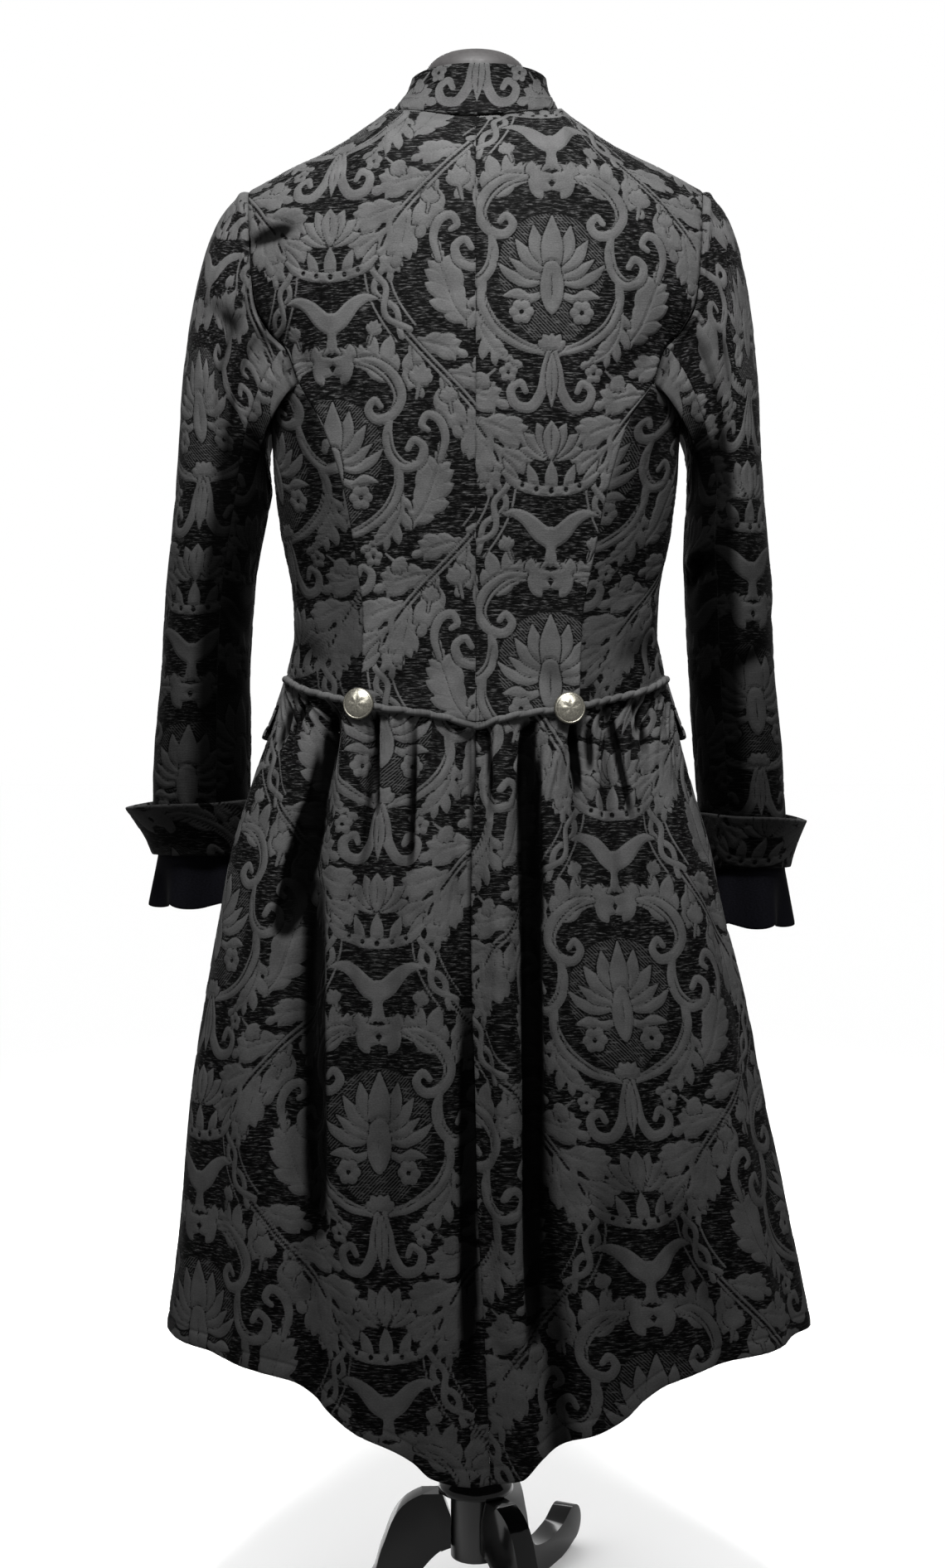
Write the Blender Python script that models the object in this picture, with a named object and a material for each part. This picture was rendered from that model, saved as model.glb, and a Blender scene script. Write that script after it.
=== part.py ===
"""A brocade tailcoat with a gathered skirt, on a limbless dress form with a tripod stand.

Sizes are in metres, the floor is z = 0, the front faces -Y and the wearer's left is +X.
The cloth pieces are walls laid on three surfaces: the body, the skirt and the sleeves.
An angle around the body starts at the centre back, and is 90 degrees at the side.
"""

import math

import bmesh
import bpy
import numpy as np
from mathutils import Matrix, Vector


class Table:
    """Rows of sizes with named columns, read smoothly by the first column."""

    def __init__(self, columns, rows):
        self.columns = columns.split()
        self.rows = np.array(rows, dtype=float)

    def at(self, column, key):
        """A cubic curve through one column, with no overshoot between its rows."""
        keys = self.rows[:, 0]
        values = self.rows[:, self.columns.index(column)]
        steps = np.diff(keys)
        slopes = np.diff(values) / steps
        tangents = np.zeros(len(keys))
        product = slopes[:-1] * slopes[1:]
        total = slopes[:-1] + slopes[1:]
        rising = product > 0
        tangents[1:-1][rising] = 2 * product[rising] / total[rising]
        tangents[0] = slopes[0]
        tangents[-1] = slopes[-1]
        key = np.clip(key, keys[0], keys[-1])
        i = np.clip(np.searchsorted(keys, key) - 1, 0, len(keys) - 2)
        t = (key - keys[i]) / steps[i]
        start = values[i] + steps[i] * tangents[i] * t * (1 - t) ** 2
        blend = t * t * (3 - 2 * t)
        end = -steps[i] * tangents[i + 1] * t * t * (1 - t)
        return start + blend * (values[i + 1] - values[i]) + end


# Gaps and walls
GAP = 0.0003
CLOTH = 0.002
WAIST_GAP = 0.0009
ARMHOLE_GAP = 0.0027
TRIM_RADIUS = {"body": 0.12, "side": 0.10, "skirt": 0.11, "sleeve": 0.045}

# Heights of the main lines
WAIST_HEIGHT = Table("angle height", [
    (0, 0.8765),
    (12, 0.8850),
    (23, 0.8895),
    (37, 0.8970),
    (60, 0.9090),
    (75, 0.9180),
    (90, 0.9215),
    (180, 0.9215),
])
SHOULDER_HEIGHT = 1.393
SHOULDER_HALF = 0.2217
SHOULDER_SLOPE = 0.470
NECK_LIFT = 0.011
NECK_DIP = 0.0040
NECK_HALF = 0.0815
NECK_BACK = 0.062
NECK_FRONT = 0.086
ROUNDING = 0.09
ROUND_SHARE = 0.8
TOP_SHARE = 1 - (1 - ROUND_SHARE) * GAP / 2 / ROUNDING
NECK_DEPTH_SHARES = {"front": 0.86, "back": 0.93}
WARP_START = 0.45
WARP_END = 0.95
LOWER_START = 0.6

# The body, from the waist seam (share 0) to the shoulder line (share 1)
BODY = Table("share half_width back front", [
    (0.00, 0.1836, 0.096, 0.102),
    (0.09, 0.1772, 0.089, 0.098),
    (0.15, 0.1780, 0.089, 0.099),
    (0.28, 0.1893, 0.101, 0.108),
    (0.38, 0.1955, 0.111, 0.117),
    (0.50, 0.1985, 0.120, 0.122),
    (0.62, 0.2060, 0.125, 0.119),
    (0.70, 0.2270, 0.125, 0.110),
    (0.80, 0.2430, 0.119, 0.096),
    (1.00, 0.2500, 0.108, 0.078),
])
BODY_POWER = 2.4

# The outer edge of the back: the side-back seam, then the armhole
BACK_EDGE = Table("share left right", [
    (0.000, 0.1080, 0.0970),
    (0.134, 0.1065, 0.1005),
    (0.228, 0.1125, 0.1100),
    (0.347, 0.1235, 0.1235),
    (0.476, 0.1475, 0.1455),
    (0.544, 0.1660, 0.1660),
    (0.612, 0.1780, 0.1770),
    (0.663, 0.1960, 0.1950),
    (0.727, 0.2090, 0.2080),
    (0.810, 0.2130, 0.2120),
    (1.000, 0.2217, 0.2217),
])
ARMHOLE_BACK = 0.544
ARMHOLE_LOW = 0.49
SIDE_SEAM = 92.0

# The outer edge of the front: the side seam, then the armhole
FRONT_EDGE = Table("share angle", [
    (0.000, 92.0),
    (0.490, 92.0),
    (0.505, 101.0),
    (0.530, 112.0),
    (0.570, 122.5),
    (0.620, 130.0),
    (0.700, 135.0),
    (0.800, 135.0),
    (0.900, 129.5),
    (1.000, 120.0),
])

# The skirt, from the waist seam (fall 0) to the hem (fall 1)
SKIRT = Table("fall half_width back front middle swing", [
    (0.000, 0.1836, 0.096, 0.102, 0.000, 0.0000),
    (0.063, 0.1925, 0.103, 0.107, 0.003, 0.0005),
    (0.148, 0.2080, 0.111, 0.117, 0.010, 0.0038),
    (0.250, 0.2270, 0.118, 0.132, 0.020, 0.0045),
    (0.380, 0.2430, 0.127, 0.147, 0.030, 0.0034),
    (0.483, 0.2560, 0.134, 0.156, 0.033, 0.0007),
    (0.638, 0.2730, 0.143, 0.165, 0.034, -0.0013),
    (0.793, 0.2870, 0.153, 0.174, 0.034, -0.0072),
    (0.896, 0.2965, 0.158, 0.179, 0.034, -0.0103),
    (1.000, 0.3070, 0.162, 0.184, 0.034, -0.0130),
])
SKIRT_POWER = 2.15
HEM = Table("x height", [
    (0.000, 0.1990),
    (0.040, 0.2080),
    (0.056, 0.2212),
    (0.080, 0.2350),
    (0.112, 0.2476),
    (0.134, 0.2600),
    (0.149, 0.2736),
    (0.172, 0.2862),
    (0.220, 0.2945),
    (0.270, 0.3000),
    (0.307, 0.3050),
])
HEM_FRONT_RISE = 0.018
GATHER_RAMP = 0.035
ROW_CROWDING = 1.15
SQUARE_FALL = 0.2
FRONT_OPENING = 5.0
FRONT_OPENING_TOP = 0.4

# Troughs of the skirt's pleats and gathers: where each runs at the waist, half way and at the
# hem in degrees, how wide and how deep it is there. A minus depth is a ridge. Left is plus.
FOLD_COLUMNS = "a_top a_mid a_hem w_top w_mid w_hem d_top d_mid d_hem"
FOLDS = [
    (44, 41, 30, 5.0, 8.0, 8.0, 0.022, 0.026, 0.012),
    (33, 31, 20, 4.5, 5.0, 6.0, -0.006, -0.008, -0.004),
    (26.4, 25, 24, 3.0, 3.5, 4.0, 0.015, 0.006, 0.000),
    (16.5, 15, 12, 3.5, 4.5, 5.0, 0.007, 0.008, 0.004),
    (1.5, 0, 0, 3.2, 3.5, 4.0, 0.011, 0.012, 0.008),
    (-5.0, -5.2, -5.2, 3.0, 3.2, 3.2, -0.005, -0.008, -0.006),
    (-11, -10.8, -10.5, 3.0, 3.8, 4.0, 0.012, 0.022, 0.016),
    (-26, -24, -22, 3.0, 4.0, 5.0, 0.011, 0.005, 0.000),
    (-37, -35, -33, 3.0, 4.0, 5.0, 0.012, 0.007, 0.000),
    (-58, -44, -44, 6.0, 8.0, 9.0, 0.004, 0.006, 0.012),
    (64, 64, 58, 6.0, 8.0, 9.0, 0.004, 0.006, 0.010),
    (-74, -74, -70, 6.0, 8.0, 8.0, 0.003, 0.006, 0.008),
    (110, 108, 106, 7.0, 8.0, 9.0, 0.004, 0.008, 0.012),
    (134, 134, 134, 7.0, 8.0, 8.0, 0.004, 0.010, 0.014),
    (158, 157, 156, 6.0, 7.0, 7.0, 0.003, 0.007, 0.010),
    (-112, -110, -108, 7.0, 8.0, 9.0, 0.004, 0.008, 0.011),
    (-138, -137, -136, 7.0, 8.0, 8.0, 0.004, 0.010, 0.013),
    (-160, -160, -159, 6.0, 7.0, 7.0, 0.003, 0.006, 0.010),
]
FOLD_MIDDLE = 0.4

# The sleeve below the armhole
SLEEVE_JOIN = 1.10
SLEEVE = Table("drop left right wide_left wide_right middle deep", [
    (0.000, 0.2468, 0.2443, 0.0460, 0.0362, -0.008, 0.058),
    (0.060, 0.2560, 0.2454, 0.0433, 0.0411, -0.013, 0.057),
    (0.084, 0.2599, 0.2478, 0.0425, 0.0418, -0.017, 0.056),
    (0.157, 0.2665, 0.2521, 0.0431, 0.0419, -0.030, 0.054),
    (0.246, 0.2729, 0.2615, 0.0474, 0.0437, -0.052, 0.051),
    (0.290, 0.2760, 0.2660, 0.0485, 0.0437, -0.066, 0.050),
    (0.370, 0.2790, 0.2745, 0.0480, 0.0440, -0.092, 0.047),
])
SLEEVE_POWER = 2.15
SLEEVE_END = {"left": 0.7520, "right": 0.7390}
CAP_SHARE = 0.42
CAP_OUT = {"left": 0.60, "right": 0.54}
HIND_SEAM = 113.0
FORE_SEAM = 247.0

# The turned-back cuff and the frill below it
CUFF_HEIGHT = 0.054
CUFF_DROP = 0.008
CUFF_STAND = 0.0027
CUFF_FLARE = {"left": 0.0145, "right": 0.0120}
CUFF_TIP = {"left": 0.0110, "right": 0.0065}
CUFF_TIP_DROP = 0.008
CUFF_WAVE = 0.0015
CUFF_TURN = 20
FRILL_TOP = 0.004
FRILL_LENGTH = {"left": 0.056, "right": 0.063}
FRILL_WAVES = 6
FRILL_WAVE_DEPTH = 0.0065
FRILL_SCALLOP = 0.006
FRILL_WALL = 0.0012
FRILL_INSET = -0.0035
FRILL_HELD = 0.22

# The stand collar
COLLAR_TOP = 1.503
COLLAR_TOP_FRONT = 1.452
COLLAR_TOP_HALF = 0.0655
COLLAR_TOP_X = -0.0035
COLLAR_TOP_BACK = 0.055
COLLAR_TOP_FRONT_DEPTH = 0.068
COLLAR_FRONT_GAP = 3.0
COLLAR_LIFT = 0.0011

# Pocket flaps, piping and buttons
FLAP_START = 84.0
FLAP_END = 140.0
FLAP_TOP = 0.006
FLAP_DEPTH = 0.095
FLAP_STAND = 0.0058
FLAP_WALL = 0.0018
PIPING_RADIUS = 0.0038
PIPING_STAND = 0.0012
PIPING_END = 76.0
PIPING_STEP = 6.0
BACK_BUTTON_RADIUS = 0.0150
BACK_BUTTON_HEIGHT = 0.0085
BACK_BUTTON_ANGLE = {"left": 31.2, "right": 23.4}
SHANK_RADIUS = 0.0045
SHANK_LENGTH = 0.0075
SHANK_FOOT = {"left": 0.0018, "right": 0.0012}
FRONT_BUTTONS = 5
FRONT_BUTTON_RADIUS = 0.0110
FRONT_BUTTON_HEIGHT = 0.0055
FRONT_BUTTON_SHANK = 0.0022
FRONT_SHANK_RADIUS = 0.004
FRONT_BUTTON_X = -0.017
FRONT_BUTTON_SHARES = (0.10, 0.80)
FRONT_BUTTON_SEATS = (0.0006, 0.0006, -0.0002, 0.0006, 0.0006)

# The dress form
FORM_GAP = 0.0019
FORM_CLEAR = 0.009
FORM_HALF_MAX = 0.196
FORM_WAIST = 0.905
FORM_SHARES = (0.06, 0.15, 0.28, 0.40, 0.52, 0.64, 0.74, 0.80, 0.87, 0.935, 0.998)
FORM_COLUMNS = 24
FORM_HIPS = Table("height half_width back front", [
    (0.735, 0.158, 0.086, 0.090),
    (0.745, 0.166, 0.092, 0.096),
    (0.775, 0.171, 0.095, 0.099),
    (0.815, 0.171, 0.092, 0.098),
    (0.850, 0.169, 0.086, 0.094),
])
FORM_NECK_HALF = 0.050
FORM_NECK_DEPTH = 0.052
FORM_NECK_Y = -0.006
FORM_NECK_FOOT = 1.36
FORM_NECK_TOP = 1.500
CAP = Table("radius height", [
    (0.0000, 0.0290),
    (0.0220, 0.0282),
    (0.0360, 0.0245),
    (0.0450, 0.0185),
    (0.0500, 0.0100),
    (0.0505, 0.0000),
])

# The stand
POLE_RADIUS = 0.0125
POLE_FOOT = 0.150
FLANGE_RADIUS = 0.0365
FLANGE_BASE = 0.1285
FLANGE_HEIGHT = 0.016
COLUMN_RADIUS = 0.0245
COLUMN_FOOT = 0.064
LEG_THICKNESS = 0.022
LEG_BEVEL = 0.003
LEG_AZIMUTHS = (27.0, 147.0, 267.0)
LEG = Table("way reach height half", [
    (0.00, 0.0255, 0.1060, 0.0290),
    (0.15, 0.0500, 0.0970, 0.0295),
    (0.30, 0.0700, 0.0700, 0.0230),
    (0.45, 0.0840, 0.0410, 0.0190),
    (0.60, 0.1100, 0.0180, 0.0175),
    (0.75, 0.1480, 0.0135, 0.0160),
    (0.88, 0.1830, 0.0175, 0.0165),
    (1.00, 0.2080, 0.0260, 0.0185),
])

# How finely each piece is divided
BACK_COLUMNS = 10
LOW_ROWS = 7
HIGH_SHARES = (0.608, 0.672, 0.736, 0.80, 0.87, 0.935, 1.0)
FRONT_HIGH_SHARES = (0.505, 0.53, 0.57, 0.62, 0.68, 0.74, 0.80, 0.87, 0.935, 1.0)
SIDE_COLUMNS = 5
COLLAR_COLUMNS = 20
SKIRT_ROWS = 10
SKIRT_BACK_COLUMNS = 29
SKIRT_FRONT_COLUMNS = 14
SLEEVE_ROWS = 12
UPPER_COLUMNS = 12
UNDER_COLUMNS = 8
CUFF_COLUMNS = 24
FRILL_COLUMNS = 28
NUDGE = 1e-4


def clear_scene():
    for item in list(bpy.data.objects):
        bpy.data.objects.remove(item, do_unlink=True)


def linear(hex_colour):
    """A linear RGBA colour from an sRGB hex value."""
    channels = [int(hex_colour[i:i + 2], 16) / 255 for i in (1, 3, 5)]
    return [c / 12.92 if c <= 0.04045 else ((c + 0.055) / 1.055) ** 2.4 for c in channels] + [1.0]


def material(name, colour, roughness, metallic=0.0):
    made = bpy.data.materials.new(name)
    made.use_nodes = True
    shader = made.node_tree.nodes["Principled BSDF"]
    shader.inputs["Base Color"].default_value = linear(colour)
    shader.inputs["Roughness"].default_value = roughness
    shader.inputs["Metallic"].default_value = metallic
    return made


def add_object(name, bm, made, smooth=40):
    bmesh.ops.recalc_face_normals(bm, faces=bm.faces)
    if bm.calc_volume(signed=True) < 0:
        bmesh.ops.reverse_faces(bm, faces=bm.faces)
    mesh = bpy.data.meshes.new(name)
    bm.to_mesh(mesh)
    bm.free()
    mesh.materials.append(made)
    mesh.shade_smooth()
    mesh.set_sharp_from_angle(angle=math.radians(smooth))
    item = bpy.data.objects.new(name, mesh)
    bpy.context.scene.collection.objects.link(item)
    return item


# The body surface


def ridge_height(x):
    """Height of the shoulder line, lifted towards the neck and dipping inside it."""
    away = SHOULDER_HALF - np.maximum(x, NECK_HALF)
    lift = NECK_LIFT * (np.maximum(away, 0) / (SHOULDER_HALF - NECK_HALF)) ** 5
    inside = np.clip(x / NECK_HALF, 0, 1)
    return SHOULDER_HEIGHT + SHOULDER_SLOPE * away + lift - NECK_DIP * (1 - inside ** 2)


def body_point(angle, share, side):
    """A point of the body at an angle in degrees and a share of the way up."""
    sine = np.sin(np.radians(angle))
    cosine = np.cos(np.radians(angle))
    x = BODY.at("half_width", share) * np.abs(sine) ** (2 / BODY_POWER)
    depth = np.where(cosine > 0, BODY.at("back", share), BODY.at("front", share))
    y = np.sign(cosine) * depth * np.abs(cosine) ** (2 / BODY_POWER)
    turn = (np.pi / 2) * np.clip((1 - share) / (1 - ROUND_SHARE), 0, 1)
    waist = WAIST_HEIGHT.at("height", angle)
    ridge = ridge_height(x)
    straight = waist + (ridge - ROUNDING - waist) * np.minimum(share / ROUND_SHARE, 1)
    z = straight + ROUNDING * np.cos(turn)
    z = np.where(share < ROUND_SHARE, straight, z)
    return np.stack([side * x, y * np.sin(turn), z], axis=-1)


def body_angle(x, share):
    """The back's angle in degrees at a distance x from the centre."""
    part = np.clip(x / BODY.at("half_width", share), 0, 1)
    return np.degrees(np.arcsin(part ** (BODY_POWER / 2)))


TIP_ANGLE = float(body_angle(SHOULDER_HALF, 1.0))
NECK_ANGLE = float(body_angle(NECK_HALF, 1.0))


def seam_angle(width, power):
    """The angle at which a section of a given half width lies half a gap from its middle."""
    return np.degrees(np.arcsin((GAP / 2 / width) ** (power / 2)))


def trim_angle(piece):
    """The angle of half a gap at a piece's edge."""
    return np.degrees(GAP / 2 / TRIM_RADIUS[piece])


def neck_share(angle, front):
    """How far up the neckline lies on the body, at an angle from the centre of its own half."""
    x = BODY.at("half_width", 1.0) * np.sin(np.radians(angle)) ** (2 / BODY_POWER)
    x = np.minimum(x, NECK_HALF)
    reach = NECK_FRONT if front else NECK_BACK
    half = "front" if front else "back"
    depth = BODY.at(half, NECK_DEPTH_SHARES[half])
    y = reach * np.sqrt(np.clip(1 - (x / NECK_HALF) ** 2, 0, 1))
    full = depth * np.cos(np.radians(angle)) ** (2 / BODY_POWER)
    turn = np.arcsin(np.clip(y / full, 0, 1))
    return 1 - (1 - ROUND_SHARE) * turn / (np.pi / 2)


def neck_warp(u, share, edge_top):
    """Columns that crowd to the neck at the top, so that one of them meets its corner."""
    corner = 0.5
    neck = NECK_ANGLE / edge_top
    bent = np.where(u < corner, u / corner * neck, neck + (u - corner) / (1 - corner) * (1 - neck))
    rise = np.clip((share - WARP_START) / (WARP_END - WARP_START), 0, 1)
    return u + (bent - u) * rise * rise * (3 - 2 * rise)


def lowered(share, top):
    """Rows that end at a lower top, with the change spread over the upper rows."""
    rise = np.clip((share - LOWER_START) / (1 - LOWER_START), 0, 1)
    return share - (1 - top) * rise


def row_share(v, low, rows):
    """The share of each row: even rows up to the armhole, then the named ones."""
    shares = [low * i / LOW_ROWS for i in range(LOW_ROWS + 1)] + list(rows)
    return np.interp(v, np.linspace(0, 1, len(shares)), shares)


def back_shape(side):
    column = "left" if side > 0 else "right"

    def shape(u, v):
        share = row_share(v, ARMHOLE_BACK, HIGH_SHARES)
        edge = body_angle(BACK_EDGE.at(column, share), share)
        start = seam_angle(BODY.at("half_width", share), BODY_POWER)
        end = edge - trim_angle("body")
        angle = start + (end - start) * neck_warp(u, share, TIP_ANGLE)
        top_angle = TIP_ANGLE * neck_warp(u, np.ones_like(u), TIP_ANGLE)
        share = lowered(share, neck_share(top_angle, False))
        share = np.minimum(share, TOP_SHARE)
        point = body_point(angle, share, side)
        point[..., 2] += WAIST_GAP * (v < NUDGE)
        return point

    return shape


def underarm_share(u):
    """How far up the side piece reaches, from the side-back seam to the side seam."""
    swept = u * u * (3 - 2 * u)
    return ARMHOLE_BACK + (ARMHOLE_LOW - ARMHOLE_BACK) * (0.35 * u + 0.65 * swept)


def side_shape(side):
    column = "left" if side > 0 else "right"

    def shape(u, v):
        share = v * underarm_share(u)
        edge = body_angle(BACK_EDGE.at(column, v * ARMHOLE_BACK), v * ARMHOLE_BACK)
        trim = trim_angle("side")
        angle = edge + trim + (SIDE_SEAM - edge - 2 * trim) * u
        point = body_point(angle, share, side)
        point[..., 2] += WAIST_GAP * (v < NUDGE)
        return point

    return shape


def front_shape(side):
    def shape(u, v):
        share = row_share(v, ARMHOLE_LOW, FRONT_HIGH_SHARES)
        edge = 180 - FRONT_EDGE.at("angle", share)
        edge = np.where(share > 0.995, TIP_ANGLE, edge)
        start = seam_angle(BODY.at("half_width", share), BODY_POWER)
        end = edge - trim_angle("body")
        from_front = start + (end - start) * neck_warp(u, share, TIP_ANGLE)
        top_angle = TIP_ANGLE * neck_warp(u, np.ones_like(u), TIP_ANGLE)
        share = lowered(share, neck_share(top_angle, True))
        share = np.minimum(share, TOP_SHARE)
        point = body_point(180 - from_front, share, side)
        point[..., 2] += WAIST_GAP * (v < NUDGE)
        return point

    return shape


def collar_shape(u, v):
    """Around the neck from the left front edge over the back to the right front edge."""
    turn = (u - 0.5) * 2
    side = np.where(turn < 0, 1.0, -1.0)
    half = np.abs(turn)
    front = half > 0.5
    on_back = NECK_ANGLE * half * 2
    on_front = COLLAR_FRONT_GAP + (NECK_ANGLE - COLLAR_FRONT_GAP) * (1 - half) * 2
    back_base = body_point(on_back, neck_share(on_back, False), side)
    front_base = body_point(180 - on_front, neck_share(on_front, True), side)
    base = np.where(front[..., None], front_base, back_base)
    base[..., 2] += COLLAR_LIFT
    around = np.where(front, np.pi - on_front / NECK_ANGLE * np.pi / 2, half * np.pi)
    depth = np.where(front, COLLAR_TOP_FRONT_DEPTH, COLLAR_TOP_BACK)
    low = np.clip((half - 0.5) * 2, 0, 1)
    top = np.stack([
        side * COLLAR_TOP_HALF * np.sin(around) + COLLAR_TOP_X * (1 - low),
        depth * np.cos(around),
        COLLAR_TOP + (COLLAR_TOP_FRONT - COLLAR_TOP) * low ** 1.6,
    ], axis=-1)
    bow = 0.0035 * np.sin(np.pi * v) * v
    point = base + (top - base) * v[..., None]
    outward = point[..., :2] / np.linalg.norm(point[..., :2], axis=-1, keepdims=True)
    point[..., :2] -= outward * bow[..., None]
    return point


# The skirt surface


def stations(top, middle, hem, fall):
    """A smooth value between three, given at the waist, part way down and at the hem."""
    upper = np.clip(fall / FOLD_MIDDLE, 0, 1)
    lower = np.clip((fall - FOLD_MIDDLE) / (1 - FOLD_MIDDLE), 0, 1)
    first = top + (middle - top) * upper * upper * (3 - 2 * upper)
    return first + (hem - middle) * lower * lower * (3 - 2 * lower)


def fold_depth(angle, fall, side):
    """How far the skirt is drawn in by all its troughs, at an angle and a fall."""
    signed = np.where(side > 0, angle, -angle)
    total = np.zeros_like(angle + fall)
    for row in FOLDS:
        fold = dict(zip(FOLD_COLUMNS.split(), row))
        middle = stations(fold["a_top"], fold["a_mid"], fold["a_hem"], fall)
        width = stations(fold["w_top"], fold["w_mid"], fold["w_hem"], fall)
        depth = stations(fold["d_top"], fold["d_mid"], fold["d_hem"], fall)
        away = (signed - middle) / width
        total += depth * np.exp(-away * away)
    return total * (1 - np.exp(-fall / GATHER_RAMP))


def hem_height(angle, x):
    """The hem drops to a point at the centre back, and rises a little to the front edges."""
    rise = HEM_FRONT_RISE * np.clip((angle - 90) / 90, 0, 1)
    return HEM.at("height", np.where(angle < 90, x, HEM.rows[-1, 0])) + rise


def skirt_point(angle, fall, side, out=0.0):
    """A point of the skirt, moved outwards by a given distance."""
    sine = np.clip(np.sin(np.radians(angle)), 0, 1)
    cosine = np.cos(np.radians(angle))
    wide = SKIRT.at("half_width", fall)
    deep = np.where(cosine > 0, SKIRT.at("back", fall), SKIRT.at("front", fall))
    power = BODY_POWER + (SKIRT_POWER - BODY_POWER) * np.clip(fall / SQUARE_FALL, 0, 1)
    x = wide * sine ** (2 / power)
    y = np.sign(cosine) * deep * np.abs(cosine) ** (2 / power)
    normal_x = sine ** (2 - 2 / power) / wide
    normal_y = np.sign(cosine) * np.abs(cosine) ** (2 - 2 / power) / deep
    length = np.hypot(normal_x, normal_y)
    move = out - fold_depth(angle, fall, side)
    waist = WAIST_HEIGHT.at("height", angle) - GAP
    hem_x = side * SKIRT.at("half_width", 1.0) * sine ** (2 / power) + SKIRT.at("swing", 1.0)
    hem = hem_height(angle, np.abs(hem_x))
    z = waist + (hem - waist) * fall
    x_moved = side * (x + move * normal_x / length) + SKIRT.at("swing", fall)
    y_moved = y + SKIRT.at("middle", fall) + move * normal_y / length
    return np.stack([x_moved, y_moved, z], axis=-1)


def skirt_back_shape(side):
    def shape(u, v):
        fall = v ** ROW_CROWDING
        start = 2 * seam_angle(SKIRT.at("half_width", fall), SKIRT_POWER)
        end = SIDE_SEAM - trim_angle("skirt")
        return skirt_point(start + (end - start) * u, fall, side)

    return shape


def skirt_front_shape(side):
    def shape(u, v):
        trim = trim_angle("skirt")
        fall = v ** ROW_CROWDING
        edge = 180 - FRONT_OPENING_TOP - FRONT_OPENING * fall ** 1.5
        angle = SIDE_SEAM + trim + (edge - SIDE_SEAM - trim) * u
        return skirt_point(angle, fall, side)

    return shape


def flap_shape(side):
    """On the skirt's points below the waist seam, standing off most at its back corner."""
    def shape(u, v):
        angle = FLAP_START + (FLAP_END - FLAP_START) * u
        droop = FLAP_DEPTH * (1 - 0.10 * np.abs(2 * u - 1) ** 6)
        fall = FLAP_TOP + droop * v
        stand = FLAP_WALL + GAP * 4 + FLAP_STAND * v ** 1.5 * (0.35 + 0.65 * (1 - u) ** 2)
        return skirt_point(angle, fall, side, stand)

    return shape


# The sleeve surface


def armhole_line(side):
    """The armhole's points in order: shoulder tip, back, underarm, front, shoulder tip."""
    column = "left" if side > 0 else "right"
    back_shares = np.linspace(1, ARMHOLE_BACK, 40)
    back_angles = body_angle(BACK_EDGE.at(column, back_shares), back_shares)
    u = np.linspace(0, 1, 16)[1:]
    side_shares = underarm_share(u)
    side_angles = back_angles[-1] + (SIDE_SEAM - back_angles[-1]) * u
    front_shares = np.linspace(ARMHOLE_LOW, 1, 60)[1:]
    front_angles = FRONT_EDGE.at("angle", front_shares)
    front_angles[-1] = 180 - TIP_ANGLE
    angles = np.concatenate([back_angles, side_angles, front_angles])
    shares = np.concatenate([back_shares, side_shares, front_shares])
    line = body_point(angles, shares, side)
    line[0] = line[-1] = (line[0] + line[-1]) / 2
    return line


ARMHOLES = {"left": armhole_line(1.0), "right": armhole_line(-1.0)}


def armhole_at(column, turn):
    line = ARMHOLES[column]
    lengths = np.concatenate([[0], np.cumsum(np.linalg.norm(np.diff(line, axis=0), axis=1))])
    way = np.mod(turn, 360) / 360 * lengths[-1]
    return np.stack([np.interp(way, lengths, line[:, i]) for i in range(3)], axis=-1)


def sleeve_ring(column, turn, height, grow=0.0):
    """A level ring of the sleeve: turn 0 is its outer side, 90 its back."""
    side = 1.0 if column == "left" else -1.0
    drop = SLEEVE_JOIN - height
    cosine = np.cos(np.radians(turn))
    sine = np.sin(np.radians(turn))
    wide = SLEEVE.at("wide_" + column, drop) + grow
    deep = SLEEVE.at("deep", drop) + grow
    x = SLEEVE.at(column, drop) + wide * np.sign(cosine) * np.abs(cosine) ** (2 / SLEEVE_POWER)
    y = SLEEVE.at("middle", drop) + deep * np.sign(sine) * np.abs(sine) ** (2 / SLEEVE_POWER)
    return np.stack([side * x, y, height + 0 * x], axis=-1)


def sleeve_point(column, turn, way):
    """Way 0 is the armhole, CAP_SHARE the level ring at the underarm, and 1 the sleeve's end."""
    side = 1.0 if column == "left" else -1.0
    start = armhole_at(column, turn)
    end = sleeve_ring(column, turn, np.full_like(turn, SLEEVE_JOIN))
    span = np.linalg.norm(end - start, axis=-1, keepdims=True)
    upper = (0.5 + 0.5 * np.cos(np.radians(turn)))[..., None]
    outward = np.array([CAP_OUT[column] * side, 0.0, -0.27])
    downward = np.array([0.55 * side, 0.0, -0.42])
    leave = span * (outward * upper ** 0.8 + downward * (1 - upper ** 0.8))
    arrive = span * np.array([0.07 * side, -0.03, -1.0])
    t = np.clip(way / CAP_SHARE, 0, 1)[..., None]
    t = t + ARMHOLE_GAP / span * (1 - t)
    cap = (start * (2 * t ** 3 - 3 * t ** 2 + 1) + leave * (t ** 3 - 2 * t ** 2 + t)
           + end * (3 * t ** 2 - 2 * t ** 3) + arrive * (t ** 3 - t ** 2))
    below = np.clip((way - CAP_SHARE) / (1 - CAP_SHARE), 0, 1)
    tube = sleeve_ring(column, turn, SLEEVE_JOIN + (SLEEVE_END[column] - SLEEVE_JOIN) * below)
    return np.where((way <= CAP_SHARE)[..., None], cap, tube)


def sleeve_shape(column, first, last):
    def shape(u, v):
        trim = trim_angle("sleeve")
        turn = first + trim + (last - first - 2 * trim) * u
        return sleeve_point(column, turn, v)

    return shape


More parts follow.
